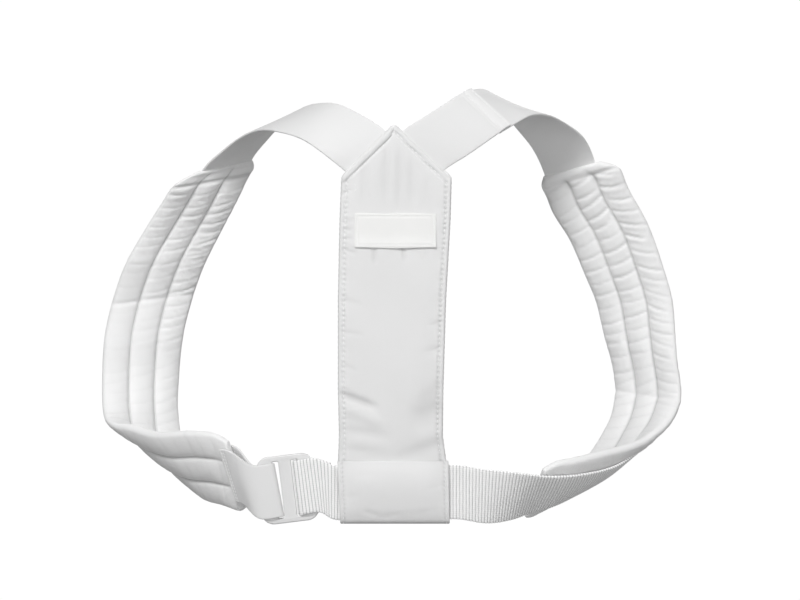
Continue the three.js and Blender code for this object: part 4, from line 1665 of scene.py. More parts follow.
@dataclass
class Tunnel:
    """The flap that is folded up from the panel's foot round the belt.

    Attributes:
        left: Half widths to the left, at the foot and at the top.
        right: Half widths to the right, at the foot and at the top.
        bulge: How far the belt and the slack push the flap out.
        hem: Distance of the side seams from the edges.
        lip: Height of the turned edge at the top.
        steps: Points along each straight side of its path, and half as many round its foot.
        seam_column: The column that a side seam runs on, counted from the edge.
    """

    left: tuple[float, float] = (37.5 * MM, 39.5 * MM)
    right: tuple[float, float] = (39 * MM, 38 * MM)
    bulge: float = 3.4 * MM
    hem: float = 3.0 * MM
    groove: float = 0.35 * MM
    pucker: float = 0.15 * MM
    lip: float = 0.35 * MM
    stitch: float = 3.2 * MM
    thread: float = 0.24 * MM
    steps: int = 40
    seam_column: int = 6
    spacing: float = 0.8 * MM

    def path(self) -> tuple[Run, float]:
        """Runs down the front, round the foot and up behind the belt.

        Returns:
            The flap's middle line, and the depth in front of which it bulges.
        """
        front_y = TUNNEL_FRONT + TUNNEL_WALL / 2
        back_y = PANEL_THICKNESS / 2 - BACK_WALL / 2
        radius = (back_y - front_y) / 2
        middle = back_y - radius
        low = PANEL_BOTTOM + radius + TUNNEL_WALL / 2
        turn = np.linspace(math.pi, 2 * math.pi, self.steps // 2)
        down = np.linspace(TUNNEL_TOP, low, self.steps)[:-1]
        ends = [np.full(len(down), depth) for depth in (front_y, back_y)]
        y = np.concatenate([ends[0], middle + radius * np.cos(turn), ends[1]])
        z = np.concatenate([down, low + radius * np.sin(turn), down[::-1]])
        left, right = [
            np.interp(z, [PANEL_BOTTOM, TUNNEL_TOP], halves) for halves in (self.left, self.right)
        ]
        places = np.stack([(right - left) / 2, y, z], -1)
        rows = [station(place, RIGHTWARD, width) for place, width in zip(places, left + right)]
        return Run(np.array(rows), Side.LEFT, self.spacing), middle - radius / 2

    def build(self, wardrobe: Wardrobe, needle: Needle) -> None:
        """Builds the flap and its stitching.

        Args:
            wardrobe: The finishes.
            needle: What sews the stitches.
        """
        run, plane = self.path()
        across, half = band_columns(PANEL_WIDTH, TUNNEL_WALL, 90)
        lift = self.lift(run, across, plane)
        outer, inner = run.surface(across, lift + half), run.surface(across, lift - half)
        shade_mask = self.painted_shade_mask(run, across)
        flat = flat_grid(run.reach, across * PANEL_HALF)
        tunnel = shell("belt_tunnel_cloth", outer, inner, flat, creases=(shade_mask, shade_mask))
        wardrobe.dress(tunnel, PANEL_CLOTH)
        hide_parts("belt_tunnel")
        foot = int(np.argmin(run.rows[:, 2])) - 2
        columns = (self.seam_column, -self.seam_column - 1)
        sides = [outer[:foot, column] + BODYWARD * 0.1 * MM for column in columns]
        name = "belt_tunnel_stitches"
        stitches = [needle.sew(name, sides, "panel_cloth", self.stitch, self.thread)]

    def painted_shade_mask(self, run: Run, across: Array) -> Array:
        """Painted shade along the flap's side seams and at its fold.

        Args:
            run: The flap's middle line.
            across: Shares of its half width.

        Returns:
            The mask, from 0 to 1.
        """
        z = run.rows[:, 2:3]
        side = (1 - np.abs(across))[None, :] * PANEL_HALF
        beat = 0.5 + 0.5 * np.cos(z / self.stitch * 2 * math.pi)
        fold = 0.5 * smoothstep((PANEL_BOTTOM + 14 * MM - z) / (14 * MM))
        # Painted shade: darker in the side seams' dents and toward the fold at the foot.
        return (0.1 + 0.3 * beat) * hollow(side - self.hem, 0.8 * MM) + fold

    def lift(self, run: Run, across: Array, plane: float) -> Array:
        """How far the front of the flap bulges off its flat lay.

        Args:
            run: The flap's middle line.
            across: Shares of its half width.
            plane: The depth in front of which it bulges.

        Returns:
            The height for each row and column.
        """
        z = run.rows[:, 2:3]
        x = across[None, :] * PANEL_HALF
        side = (1 - np.abs(across))[None, :]
        up = np.clip((z - PANEL_BOTTOM) / (TUNNEL_TOP - PANEL_BOTTOM), 0, 1)
        arch = np.sin(math.pi * up**1.5) ** 0.8
        puff = self.bulge * arch * lerp(0.25, 1.0, smoothstep(2 * side + 0.12))
        puff -= folded(TUNNEL_FOLDS, *np.broadcast_arrays(x, z))
        beat = np.cos(z / self.stitch * 2 * math.pi)
        seam = hollow(side * PANEL_HALF - self.hem, 1.1 * MM)
        puff -= (self.groove + self.pucker * beat) * seam
        puff += self.lip * hollow(TUNNEL_TOP - z, 1.6 * MM)
        return puff * smoothstep((plane - run.rows[:, 1:2]) / MM)


@dataclass
class Label:
    """The blank label sewn to the panel. Places on it are x and z from its middle.

    Attributes:
        drop: How far its middle lies under the shoulder line.
        aside: How far its middle lies to the right of the panel's.
        stand: How far its lower edge stands off.
    """

    width: float = 57 * MM
    height: float = 24 * MM
    drop: float = 84 * MM
    aside: float = 1 * MM
    thickness: float = 0.6 * MM
    hem: float = 2.0 * MM
    groove: float = 0.25 * MM
    wave: float = 0.16 * MM
    stand: float = 0.9 * MM
    stitch: float = 2.0 * MM
    thread: float = 0.17 * MM
    step: float = 0.5 * MM

    def build(self, wardrobe: Wardrobe, needle: Needle) -> None:
        """Builds the label and its stitched border.

        Args:
            wardrobe: The finishes.
            needle: What sews the stitches.
        """
        half_w, half_h = self.width / 2, self.height / 2
        x, z = np.meshgrid(
            np.linspace(-half_w, half_w, round(self.width / self.step) + 1),
            np.linspace(half_h, -half_h, round(self.height / self.step) + 1),
        )
        upper = 0.35 * MM * np.sin(x / (5.2 * MM)) * (z > 0)
        z = z + upper - 0.3 * MM * np.cos(x / (9 * MM)) * (z < 0)
        out = self.placed(x, z)
        body = out.copy()
        body[..., 1] = np.minimum(out[..., 1] + self.thickness, -PANEL_THICKNESS / 2 + 0.2 * MM)
        label = shell("label_cloth", body, out, out[..., [0, 2]], 40.0)
        wardrobe.dress(label, LABEL_CLOTH)
        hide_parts("label")
        sewn = np.array([half_w - self.hem, half_h - self.hem])
        corners = np.array([(-1, 1), (1, 1), (1, -1), (-1, -1), (-1, 1)]) * sewn
        border = [self.placed(*np.linspace(a, b, 60).T) for a, b in zip(corners, corners[1:])]
        stitches = [needle.sew("label_stitches", border, "label_cloth", self.stitch, self.thread)]

    def placed(self, x: Array, z: Array) -> Array:
        """Points of the label's face, in their place on the panel."""
        return np.stack([x + self.aside, self.face(x, z), z - self.drop], -1)

    def face(self, x: Array, z: Array) -> Array:
        """Depth of the label's face.

        Args:
            x: Places across.
            z: Places up.

        Returns:
            The depth at each place, less than zero in front.
        """
        from_edge = np.minimum(self.width / 2 - np.abs(x), self.height / 2 - np.abs(z))
        lie = -PANEL_THICKNESS / 2 - 0.5 * MM - self.thickness
        wave = np.sin(x / (4.4 * MM)) * smoothstep(-z / (10 * MM))
        wave = wave + 0.7 * np.sin(x / (3.1 * MM) + 2)
        lie = lie - self.stand * smoothstep(-z / (self.height / 2)) ** 2
        groove = self.groove * hollow(from_edge - self.hem, 0.7 * MM)
        return lie - self.wave * wave + groove + 0.3 * MM * smoothstep(1 - from_edge / MM)


@dataclass(frozen=True)
class ClothFeel:
    """How the quilt's cloth behaves while it swells.

    Attributes:
        pressure: Push of the wadding inside.
        slack: Share by which the cloth is longer than its seams.
        damping: Drag of the air.
        scale: How many times larger than life it is simulated.
    """

    pressure: float = 1.0
    slack: float = 0.017
    bending: float = 0.2
    tension: float = 30.0
    mass: float = 0.15
    damping: float = 4.0
    frames: int = 24
    scale: float = 10.0


class SlackRow(NamedTuple):
    """Shares of the swelling that each channel keeps, at a distance from the shoulder end in mm.

    seam is half of the pad's thickness in its seams there, in mm.
    """

    reach: float
    outer: float
    middle: float
    inner: float
    seam: float = 0.6


LEFT_SLACK = [SlackRow(*row) for row in (
    (0, 0.3, 0.25, 0.25),
    (10, 0.3, 0.25, 0.25, 1.2),
    (18, 0.7, 0.7, 0.8),
    (50, 0.35, 0.6, 0.9),
    (105, 0.2, 0.45, 0.9),
    (125, 0.1, 0.2, 0.5),
    (190, 0.12, 0.15, 0.4),
    (215, 0.35, 0.25, 0.25, 0.8),
    (240, 0.1, 0.1, 0.1, 1.7),
    (335, 0.15, 0.15, 0.15, 1.7),
)]
RIGHT_SLACK = [SlackRow(*row) for row in (
    (0, 0.4, 0.4, 0.3),
    (14, 1.0, 1.0, 0.5),
    (60, 1.0, 0.9, 0.5),
    (110, 0.9, 0.8, 0.6),
    (165, 0.6, 0.5, 0.6, 0.8),
    (185, 0.3, 0.3, 0.3, 1.2),
    (225, 0.3, 0.3, 0.25, 1.6),
    (250, 0.1, 0.1, 0.1, 1.6),
    (325, 0.1, 0.1, 0.1, 1.6),
)]


@dataclass
class Pad:
    """A quilted pad with three channels.

    Attributes:
        name: The CAD node that it stands for.
        side: The side that it is on.
        rows: Its stations.
        slack: How much it swells along its length.
        end: The place of its belt end.
        kink: Distance from the shoulder end to the crease across it.
        roll: Length of the roll at the shoulder end, where the seams haven't begun.
        tack: Distance of the crosswise seam from the shoulder end.
        slants: How far the puckers of each channel lean along the pad, in millimetres.
        seed: Seed of its gathers.
        kink_depth: How far the crease across it folds it.
        kink_run: Distance over which that fold rises and falls.
        kink_slant: How much the crease leans across the pad.
        roll_puff: How full the roll is.
        overhang: How far the shoulder end reaches over the inner edge.
        corner_turn: How sharply the trimmed corners turn.
    """

    name: str
    side: Side
    rows: Sequence[PadRow]
    slack: Sequence[SlackRow]
    end: Array
    kink: float
    roll: float
    tack: float
    slants: tuple[float, float, float]
    seed: int
    pucker: float = 1.5 * MM
    spacing: float = 1.45 * MM
    channel_columns: int = 14
    edge_half: float = 0.9 * MM
    kink_depth: float = 4.0 * MM
    kink_run: float = 34 * MM
    kink_slant: float = 0.12
    crease: float = 0.8 * MM
    cap: float = 3.2 * MM
    roll_puff: float = 1.35
    overhang: float = 2.6 * MM
    corner_turn: float = 4.0
    seam_pitch: float = 2.9 * MM
    seam_thread: float = 0.18 * MM
    feel: ClothFeel = ClothFeel()
    run: Run = field(init=False)

    def __post_init__(self) -> None:
        """Works out the pad's run."""
        self.run = pad_run(self.rows, self.end, self.side, self.spacing)

    def columns(self) -> Array:
        """Shares across the pad, from its outer edge to its inner one."""
        return np.linspace(-1, 1, PAD_CHANNELS * self.channel_columns + 1)

    def liveliness(self) -> Array:
        """Blends the channels' shares of the swelling.

        Returns:
            The share that is kept at each row and column.
        """
        stops, *shares, _ = zip(*self.slack)
        table = np.stack(
            [np.interp(self.run.reach, MM * np.array(stops), column) for column in shares], -1
        )
        place = np.clip((self.columns() + 1) / 2 * PAD_CHANNELS - 0.5, 0, PAD_CHANNELS - 1)
        whole = np.minimum(place.astype(int), PAD_CHANNELS - 2)
        return lerp(table[:, whole], table[:, whole + 1], smoothstep((place - whole) * 3 - 1))

    def trim(self, from_end: Array) -> Array:
        """Share of a trimmed corner at a distance from its end."""
        return np.logaddexp(0, (1 - from_end / CHAMFER_RUN) * self.corner_turn) / self.corner_turn

    def across(self) -> Array:
        """Shares of the half width at each row and column, inside the trimmed corners.

        Returns:
            The shares, from -1 on the outer edge to 1 on the inner one.
        """
        reach = self.run.reach
        shoulder, belt = self.trim(reach), self.trim(self.run.length - reach)
        outer = SHOULDER_CHAMFER * shoulder + BELT_END_CHAMFER * belt
        inner = PAD_MARGIN * shoulder + BELT_END_CHAMFER * belt
        inner = inner - self.overhang * hollow(reach - 6 * MM, 6 * MM)
        low = -1 + outer[:, None] / (PAD_WIDTH / 2)
        high = 1 - inner[:, None] / (PAD_WIDTH / 2)
        return lerp(low, high, (self.columns()[None, :] + 1) / 2)

    def half_thickness(self) -> Array:
        """Works out half of the pad's thickness before it swells.

        Returns:
            The half thickness at each row and column.
        """
        reach = self.run.reach[:, None]
        columns = self.columns()[None, :]
        from_end = np.minimum(reach, self.run.length - reach)
        channel = np.abs(np.sin(math.pi * PAD_CHANNELS * (columns + 1) / 2)) ** 0.4
        puff = smoothstep(from_end / PAD_PUFF_RUN)
        crown = pad_crown(from_end) / 2 * (1 - 0.22 * self.liveliness())
        stops, *_, seams = zip(*self.slack)
        seam = np.interp(reach, MM * np.array(stops), MM * np.array(seams))
        floor = np.where(np.abs(columns) > 0.999, self.edge_half, seam)
        swell = lerp(np.maximum(channel, 0.35), channel, puff)
        plain = smoothstep((self.roll - reach) / (3 * MM) + 0.5)
        edge = np.sqrt(np.clip(1 - columns**6, 0, 1))
        roll = np.sqrt(np.clip(1 - (reach / self.roll - 0.5) ** 2 * 3.2, 0, 1))
        half = floor + (crown - floor) * lerp(swell, roll * edge * self.roll_puff, plain)
        if self.tack:
            half = half * (1 - 0.6 * hollow(reach - self.tack, 1.6 * MM))
            return half * (1 - 0.35 * smoothstep((self.tack - reach) / (4 * MM)))
        return half * (1 - 0.4 * hollow(reach - self.roll, 1.6 * MM))

    def build(self, wardrobe: Wardrobe, needle: Needle) -> None:
        """Builds the pad and the stitches of its seams.

        Args:
            wardrobe: The finishes.
            needle: What sews the stitches.
        """
        run = self.run
        columns = self.columns()
        across = self.across()
        half = self.half_thickness()
        along = np.repeat(run.reach[:, None], len(columns), 1)
        off = along + self.kink_slant * across * PAD_WIDTH / 2 - self.kink
        fold = self.kink_depth * np.maximum(0, 1 - np.abs(off) / self.kink_run)
        crease = self.crease * hollow(off, 1.6 * MM)
        gathers = [self.gathers(along, columns, layer) for layer in (0, 1)]
        body = run.surface(across, half + gathers[0] - fold - crease)
        out = run.surface(across, -half - gathers[1] - fold)
        flat = np.stack([along, across * PAD_WIDTH / 2], -1)
        # Painted shade in the seams and puckers, kept as the "crease" attribute.
        painted_shade_mask = [self.painted_shade_mask(along, columns, layer) for layer in gathers]
        pad = shell(f"{self.name}_quilt", body, out, flat, 75.0, painted_shade_mask)
        self.inflate(pad)
        rounded = pad.modifiers.new("rounded", "SUBSURF")
        rounded.levels = rounded.render_levels = 1
        wardrobe.dress(pad, PAD_CLOTH)
        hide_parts(self.name)
        first = int(np.searchsorted(run.reach, self.roll if not self.tack else 2 * MM))
        seams = []
        for seam in range(1, PAD_CHANNELS):
            column = seam * self.channel_columns
            seams.extend([body[first:-2, column], out[first:-2, column]])
        needle.sew(f"{self.name}_seams", seams, "pad_cloth", self.seam_pitch, self.seam_thread)

    def painted_shade_mask(self, along: Array, columns: Array, gathers: Array) -> Array:
        """Painted shade along the seams and in the puckers.

        Args:
            along: Distance along the pad, for each row and column.
            columns: Shares across the pad, from -1 to 1.
            gathers: Height of the gathers, for each row and column.

        Returns:
            The mask, from 0 to 1.
        """
        place = (columns + 1) / 2 * PAD_CHANNELS
        aside = np.abs(place - np.round(place))[None, :]
        edge = (np.abs(columns) > 0.9)[None, :]
        begun = smoothstep((along - self.roll) / (2 * MM) + 1)
        seams = 0.6 * hollow(aside, 0.04) * begun * ~edge
        starts = hollow(along - self.roll - 2 * MM, 4 * MM) * hollow(aside, 0.12) * ~edge
        crosswise = hollow(along - self.tack, 1.5 * MM) if self.tack else starts
        return seams + 0.5 * crosswise + 0.5 * np.maximum(-gathers, 0) / self.pucker

    def sewn(self) -> Array:
        """Finds what the seams and the ends hold while the pad swells.

        Returns:
            The numbers of those points.
        """
        held = np.zeros((len(self.run.reach), len(self.columns())), bool)
        held[:, [0, -1]] = True
        begun = self.run.reach > (0.0 if self.tack else self.roll)
        held[np.ix_(begun, range(0, held.shape[1], self.channel_columns))] = True
        if self.tack:
            held[int(np.argmin(np.abs(self.run.reach - self.tack)))] = True
        held[[0, -2, -1]] = True
        return np.flatnonzero(np.concatenate([held.ravel(), held.ravel()]))

    def inflate(self, pad: Object) -> None:
        """Swells the quilt between its seams as slack cloth, and keeps the result.

        Args:
            pad: The quilt before it swells.
        """
        feel = self.feel
        mesh = pad.data
        start = coordinates(mesh)
        mesh.transform(Matrix.Scale(feel.scale, 4))
        group = pad.vertex_groups.new(name="sewn")
        group.add(self.sewn().tolist(), 1.0, "REPLACE")
        cloth = pad.modifiers.new("cloth", "CLOTH")
        settings = cloth.settings
        settings.quality = 5
        settings.mass = feel.mass
        settings.air_damping = feel.damping
        settings.tension_stiffness = feel.tension
        settings.compression_stiffness = feel.tension
        settings.shear_stiffness = feel.tension / 3
        settings.bending_stiffness = feel.bending
        settings.shrink_min = -feel.slack
        settings.use_pressure = True
        settings.uniform_pressure_force = feel.pressure
        settings.effector_weights.gravity = 0.0
        settings.vertex_group_mass = group.name
        scene = bpy.context.scene
        cloth.point_cache.frame_end = feel.frames
        for number in range(1, feel.frames + 1):
            scene.frame_set(number)
        graph = bpy.context.evaluated_depsgraph_get()
        swollen = coordinates(pad.evaluated_get(graph).data) / feel.scale
        pad.modifiers.clear()
        pad.vertex_groups.clear()
        scene.frame_set(1)
        lively = self.liveliness().ravel()
        moved = (swollen - start) * np.concatenate([lively, lively])[:, None]
        reach = np.linalg.norm(moved, axis=1, keepdims=True)
        log.info("%s moved up to %.1f mm", pad.name, reach.max() / MM)
        kept = start + moved * np.minimum(1, self.cap / np.maximum(reach, 1e-9))
        mesh.vertices.foreach_set("co", kept.astype(np.float32).ravel())
        mesh.update()

    def gathers(self, along: Array, columns: Array, layer: int) -> Array:
        """Puckers that run across the channels from their seams.

        Args:
            along: Distance along the pad, for each row and column.
            columns: Shares across the pad, from -1 to 1.
            layer: 0 on the body's side, and 1 outside.

        Returns:
            Depths, below zero in a pucker.
        """
        random = np.random.default_rng(self.seed + 17 * layer)
        depth = np.zeros_like(along)
        place = (columns + 1) / 2 * PAD_CHANNELS
        for channel, slant in enumerate(self.slants):
            share = np.clip(place - channel, 0, 1)[None, :]
            inside = ((place >= channel) & (place <= channel + 1))[None, :]
            arc = 1.2 * MM * np.sin(math.pi * share)
            reach = 10 * MM
            while reach < self.run.length - 8 * MM:
                size = random.uniform(0.35, 1.0)
                lean = (slant + random.uniform(-2.0, 2.0)) * MM
                near = share if random.integers(0, 2) else 1 - share
                fade = 1 - smoothstep((near - 0.45) / random.uniform(0.4, 1.8))
                fade = fade * smoothstep(near / 0.06)
                off = along - reach - lean * (0.5 - share) - arc
                depth -= size * self.pucker * hollow(off, 1.15 * MM) * fade * inside
                depth += 0.35 * size * self.pucker * hollow(off - 3 * MM, 2.4 * MM) * fade * inside
                reach += random.uniform(7.0, 12.5) * MM
        return depth * self.liveliness()


@dataclass
class Straps:
    """The elastic shoulder straps, the right one in two lapped lengths.

    Attributes:
        hem: How far the lap's stitches lie from its cut ends.
        turned: Extra height of the hem that is turned under at the lap.
        groove: Depth that the lap's stitches pull the hem in.
    """

    left: Run
    right: Run
    hem: float = 1.6 * MM
    turned: float = 0.8 * MM
    groove: float = 0.3 * MM
    stitch: float = 2.6 * MM
    thread: float = 0.24 * MM

    def build(self, wardrobe: Wardrobe, needle: Needle) -> None:
        """Builds the three bands and the stitches of the lap.

        Args:
            wardrobe: The finishes.
            needle: What sews the stitches.
        """
        strap = band("shoulder_strap_left_elastic", self.left, ELASTIC_THICKNESS, relief=self.soft)
        wardrobe.dress(strap, ELASTIC)
        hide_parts("shoulder_strap_left")
        middle = STRAP_LAP_SHARE * self.right.length
        pieces = [
            ("shoulder_strap_right_back", 0.0, middle + STRAP_LAP / 2, 1),
            ("shoulder_strap_right_front", middle - STRAP_LAP / 2, self.right.length, -1),
        ]
        lift = (ELASTIC_THICKNESS + GAP) / 2
        for node, start, end, layer in pieces:
            away = np.abs(self.right.reach - middle)
            eased = lift * (1 - smoothstep((away - STRAP_LAP) / (2 * STRAP_LAP)))
            run = self.right.lifted(layer * eased).between(start, end)
            relief = self.turned_hem(run.length) if layer == 1 else self.soft
            strap = band(f"{node}_elastic", run, ELASTIC_THICKNESS, relief=relief)
            wardrobe.dress(strap, ELASTIC)
            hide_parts(node)
            if layer == 1:
                self.paint_lap_highlight(strap, run.length, wardrobe)
                self.sew_lap(run, needle)

    def soft(self, along: Array, sideways: Array) -> Array:
        """A faint unevenness of the elastic."""
        return 0.08 * MM * np.sin(along / (9 * MM)) * np.cos(sideways / (7 * MM))

    def turned_hem(self, length: float) -> Callable[[Array, Array], Array]:
        """The relief of a band whose end is turned under over the lap.

        Args:
            length: The band's length.

        Returns:
            The extra height by distance along and across.
        """

        def relief(along: Array, sideways: Array) -> Array:
            """The hem's height, with the grooves of its stitches.

            Args:
                along: Distances along the band.
                sideways: Distances across it.

            Returns:
                The extra height.
            """
            from_end = length - along
            hem = self.turned * smoothstep((STRAP_LAP + 0.6 * MM - from_end) / (1.2 * MM))
            rows = (self.hem, STRAP_LAP - self.hem)
            grooves = sum(hollow(from_end - row, 0.6 * MM) for row in rows)
            return hem - self.groove * grooves + self.soft(along, sideways)

        return relief

    def paint_lap_highlight(self, strap: Object, length: float, wardrobe: Wardrobe) -> None:
        """Paints a highlight on the lap band, with a lighter copy of the elastic.

        Args:
            strap: The band that lies on top.
            length: Its length.
            wardrobe: The finishes.
        """
        mesh = strap.data
        mesh.materials.append(wardrobe.material(LAP_HIGHLIGHT_ELASTIC))
        flat = mesh.uv_layers["UVMap"].data
        for face in mesh.polygons:
            if min(flat[corner].uv.x for corner in face.loop_indices) > length - STRAP_LAP:
                face.material_index = 1

    def sew_lap(self, run: Run, needle: Needle) -> None:
        """Sews the two rows of stitches across the lap.

        Args:
            run: The run of the band that lies on top.
            needle: What sews them.
        """
        lines = []
        share = np.linspace(-0.94, 0.94, 40)
        lift = ELASTIC_THICKNESS / 2 + self.turned - 0.05 * MM
        for from_end in (self.hem, STRAP_LAP - self.hem):
            spot = run.at(run.length - from_end)
            middle = spot.place - spot.face * lift
            lines.append(middle + np.outer(share * ELASTIC_WIDTH / 2, spot.across))
        needle.sew("strap_lap_stitches", lines, "elastic", self.stitch, self.thread)


@dataclass
class Buckle:
    """The plastic slider that joins the elastic loop to the belt.

    Attributes:
        bevel: Radius of its edges.
    """

    bevel: float = 1.1 * MM
    bevel_steps: int = 4
    corner_steps: int = 10
    slot_corner: float = 1.0 * MM

    def rounded(self, x: float, width: float, height: float, radius: float) -> list[Vector]:
        """Lays points round a rectangle with round corners, anticlockwise.

        Args:
            x: Its middle along the buckle.
            width: Its length along the buckle.
            height: Its size across.
            radius: Radius of its corners.

        Returns:
            The points.
        """
        points = []
        for turn, (sx, sz) in enumerate([(1, 1), (-1, 1), (-1, -1), (1, -1)]):
            middle = Vector((x + sx * (width / 2 - radius), sz * (height / 2 - radius)))
            for step in range(self.corner_steps + 1):
                angle = math.pi / 2 * (turn + step / self.corner_steps)
                points.append(middle + radius * Vector((math.cos(angle), math.sin(angle))))
        return points

    def build(self, wardrobe: Wardrobe) -> None:
        """Builds the slider.

        Args:
            wardrobe: The finishes.
        """
        height = SLOT_HEIGHT + 2 * BUCKLE_RAIL
        curve = bpy.data.curves.new("buckle_outline", "CURVE")
        curve.dimensions = "2D"
        curve.fill_mode = "BOTH"
        curve.extrude = BUCKLE_THICKNESS / 2 - self.bevel
        curve.bevel_depth = self.bevel
        curve.bevel_resolution = self.bevel_steps
        curve.offset = -self.bevel
        outlines = [self.rounded(0, BUCKLE_LENGTH, height, BUCKLE_CORNER)]
        for side in (-1, 1):
            x = side * (MIDDLE_BAR + BUCKLE_SLOT) / 2
            slot = self.rounded(x, BUCKLE_SLOT, SLOT_HEIGHT, self.slot_corner)
            outlines.append(slot[::-1])
        for outline in outlines:
            spline = curve.splines.new("POLY")
            spline.points.add(len(outline) - 1)
            for point, (x, y) in zip(spline.points, outline):
                point.co = (x, y, 0, 1)
            spline.use_cyclic_u = True
        source = link(bpy.data.objects.new("buckle_outline", curve))
        graph = bpy.context.evaluated_depsgraph_get()
        mesh = bpy.data.meshes.new_from_object(source.evaluated_get(graph))
        bpy.data.objects.remove(source)
        stand = Matrix.Rotation(math.pi / 2, 4, "X")
        tilt = Matrix.Rotation(-BUCKLE_TILT, 4, "Y")
        place = Matrix.Translation(Vector(BUCKLE_PLACE + PANEL_PLANE))
        mesh.transform(place @ tilt @ stand)
        weld(mesh)
        finish_shading(mesh, 35.0)
        mesh.name = "buckle_moulding"
        buckle = link(bpy.data.objects.new("buckle_moulding", mesh))
        wardrobe.dress(buckle, PLASTIC)
        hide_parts("buckle")


@dataclass
class Belt:
    """The ribbed webbing and the elastic loop at the buckle.

    Attributes:
        loop_hem: Distance of the loop's stitches from its ends.
        loop_lean: How far the loop slides along the buckle at its edges.
    """

    left_pad: Run
    right_pad: Run
    rib_pitch: float = 2.3 * MM
    rib_steps: int = 6
    rib_height: float = 0.45 * MM
    loop_hem: float = 1.6 * MM
    loop_lean: float = 1.3 * MM
    loop_spacing: float = 0.5 * MM
    stitch: float = 2.4 * MM
    thread: float = 0.22 * MM

    def build(self, wardrobe: Wardrobe, needle: Needle) -> None:
        """Builds the webbing and the loop.

        Args:
            wardrobe: The finishes.
            needle: What sews the stitches.
        """
        self.build_loop(wardrobe, needle)
        run = belt_run(self.right_pad, self.rib_pitch / self.rib_steps)
        across, half = band_columns(WEBBING_WIDTH, WEBBING_THICKNESS, 12)
        rise = np.tile(half, (len(run.reach), 1))
        flat = flat_grid(run.reach, across * WEBBING_WIDTH / 2)
        belt = shell("belt_webbing", run.surface(across, rise), run.surface(across, -rise), flat)
        self.mark(belt)
        values = {
            "Rib Pitch": self.rib_pitch,
            "Rib Height": self.rib_height,
            "Material": wardrobe.material(WEBBING),
        }
        grown(belt, rib_tree(), values)
        wardrobe.dress(belt, WEBBING)
        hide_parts("belt")

    def build_loop(self, wardrobe: Wardrobe, needle: Needle) -> None:
        """Builds the elastic loop, whose turn leans over the buckle's left bar.

        Args:
            wardrobe: The finishes.
            needle: What sews the stitches.
        """
        run = loop_run(self.left_pad, self.loop_spacing)
        across, half = band_columns(ELASTIC_WIDTH, ELASTIC_THICKNESS, 24)
        hem = self.loop_hem
        from_end = np.minimum(run.reach, run.length - run.reach)[:, None]
        groove = hollow(from_end - hem, 0.5 * MM) + hollow(from_end - 2 * hem, 0.5 * MM)
        rise = half[None, :] * (1 - 0.35 * groove)
        lean = hollow(run.rows[:, 0:1] - BUCKLE_PLACE[0] + 9 * MM, 14 * MM)
        slide = lean * (self.loop_lean * across[None, :] - self.loop_lean / 3)
        shift = slide[..., None] * BUCKLE_ALONG
        flat = flat_grid(run.reach, across * ELASTIC_WIDTH / 2)
        body = run.surface(across, rise) + shift
        out = run.surface(across, -rise) + shift
        loop = shell("buckle_loop_elastic", body, out, flat)
        wardrobe.dress(loop, ELASTIC)
        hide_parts("buckle_loop")
        rows = [int(np.argmin(np.abs(run.reach - reach))) for reach in (hem, 2 * hem)]
        lines = [grid[row, 4:-4] for row in rows for grid in (body, out)]
        needle.sew("buckle_loop_stitches", lines, "elastic", self.stitch, self.thread)

    def mark(self, belt: Object) -> None:
        """Stores each point's distance along the belt.

        Args:
            belt: The webbing.
        """
        mesh = belt.data
        along = np.zeros(len(mesh.vertices), np.float32)
        layer = mesh.uv_layers["UVMap"].data
        flat = np.zeros(len(mesh.loops) * 2, np.float32)
        layer.foreach_get("uv", flat)
        corners = np.zeros(len(mesh.loops), np.int32)
        mesh.loops.foreach_get("vertex_index", corners)
        along[corners] = flat[::2]
        mesh.attributes.new("along", "FLOAT", "POINT").data.foreach_set("value", along)


class Lamp(NamedTuple):
    """A soft square lamp: its place and size in metres, and its power in watts."""

    name: str
    place: tuple[float, float, float]
    size: float
    power: float


LAMPS = [
    Lamp("key", (-0.5, -1.5, 1.35), 0.7, 33.0),
    Lamp("fill", (-1.3, -1.4, -0.4), 0.5, 3.5),
    Lamp("low_fill", (0.1, -1.5, -0.5), 0.5, 3.0),
    Lamp("right_fill", (1.4, -1.6, 0.2), 0.8, 9.0),
    Lamp("top", (0.1, 0.1, 1.6), 1.2, 3.0),
    Lamp("rear", (0.9, 1.9, 0.7), 0.8, 20.0),
]


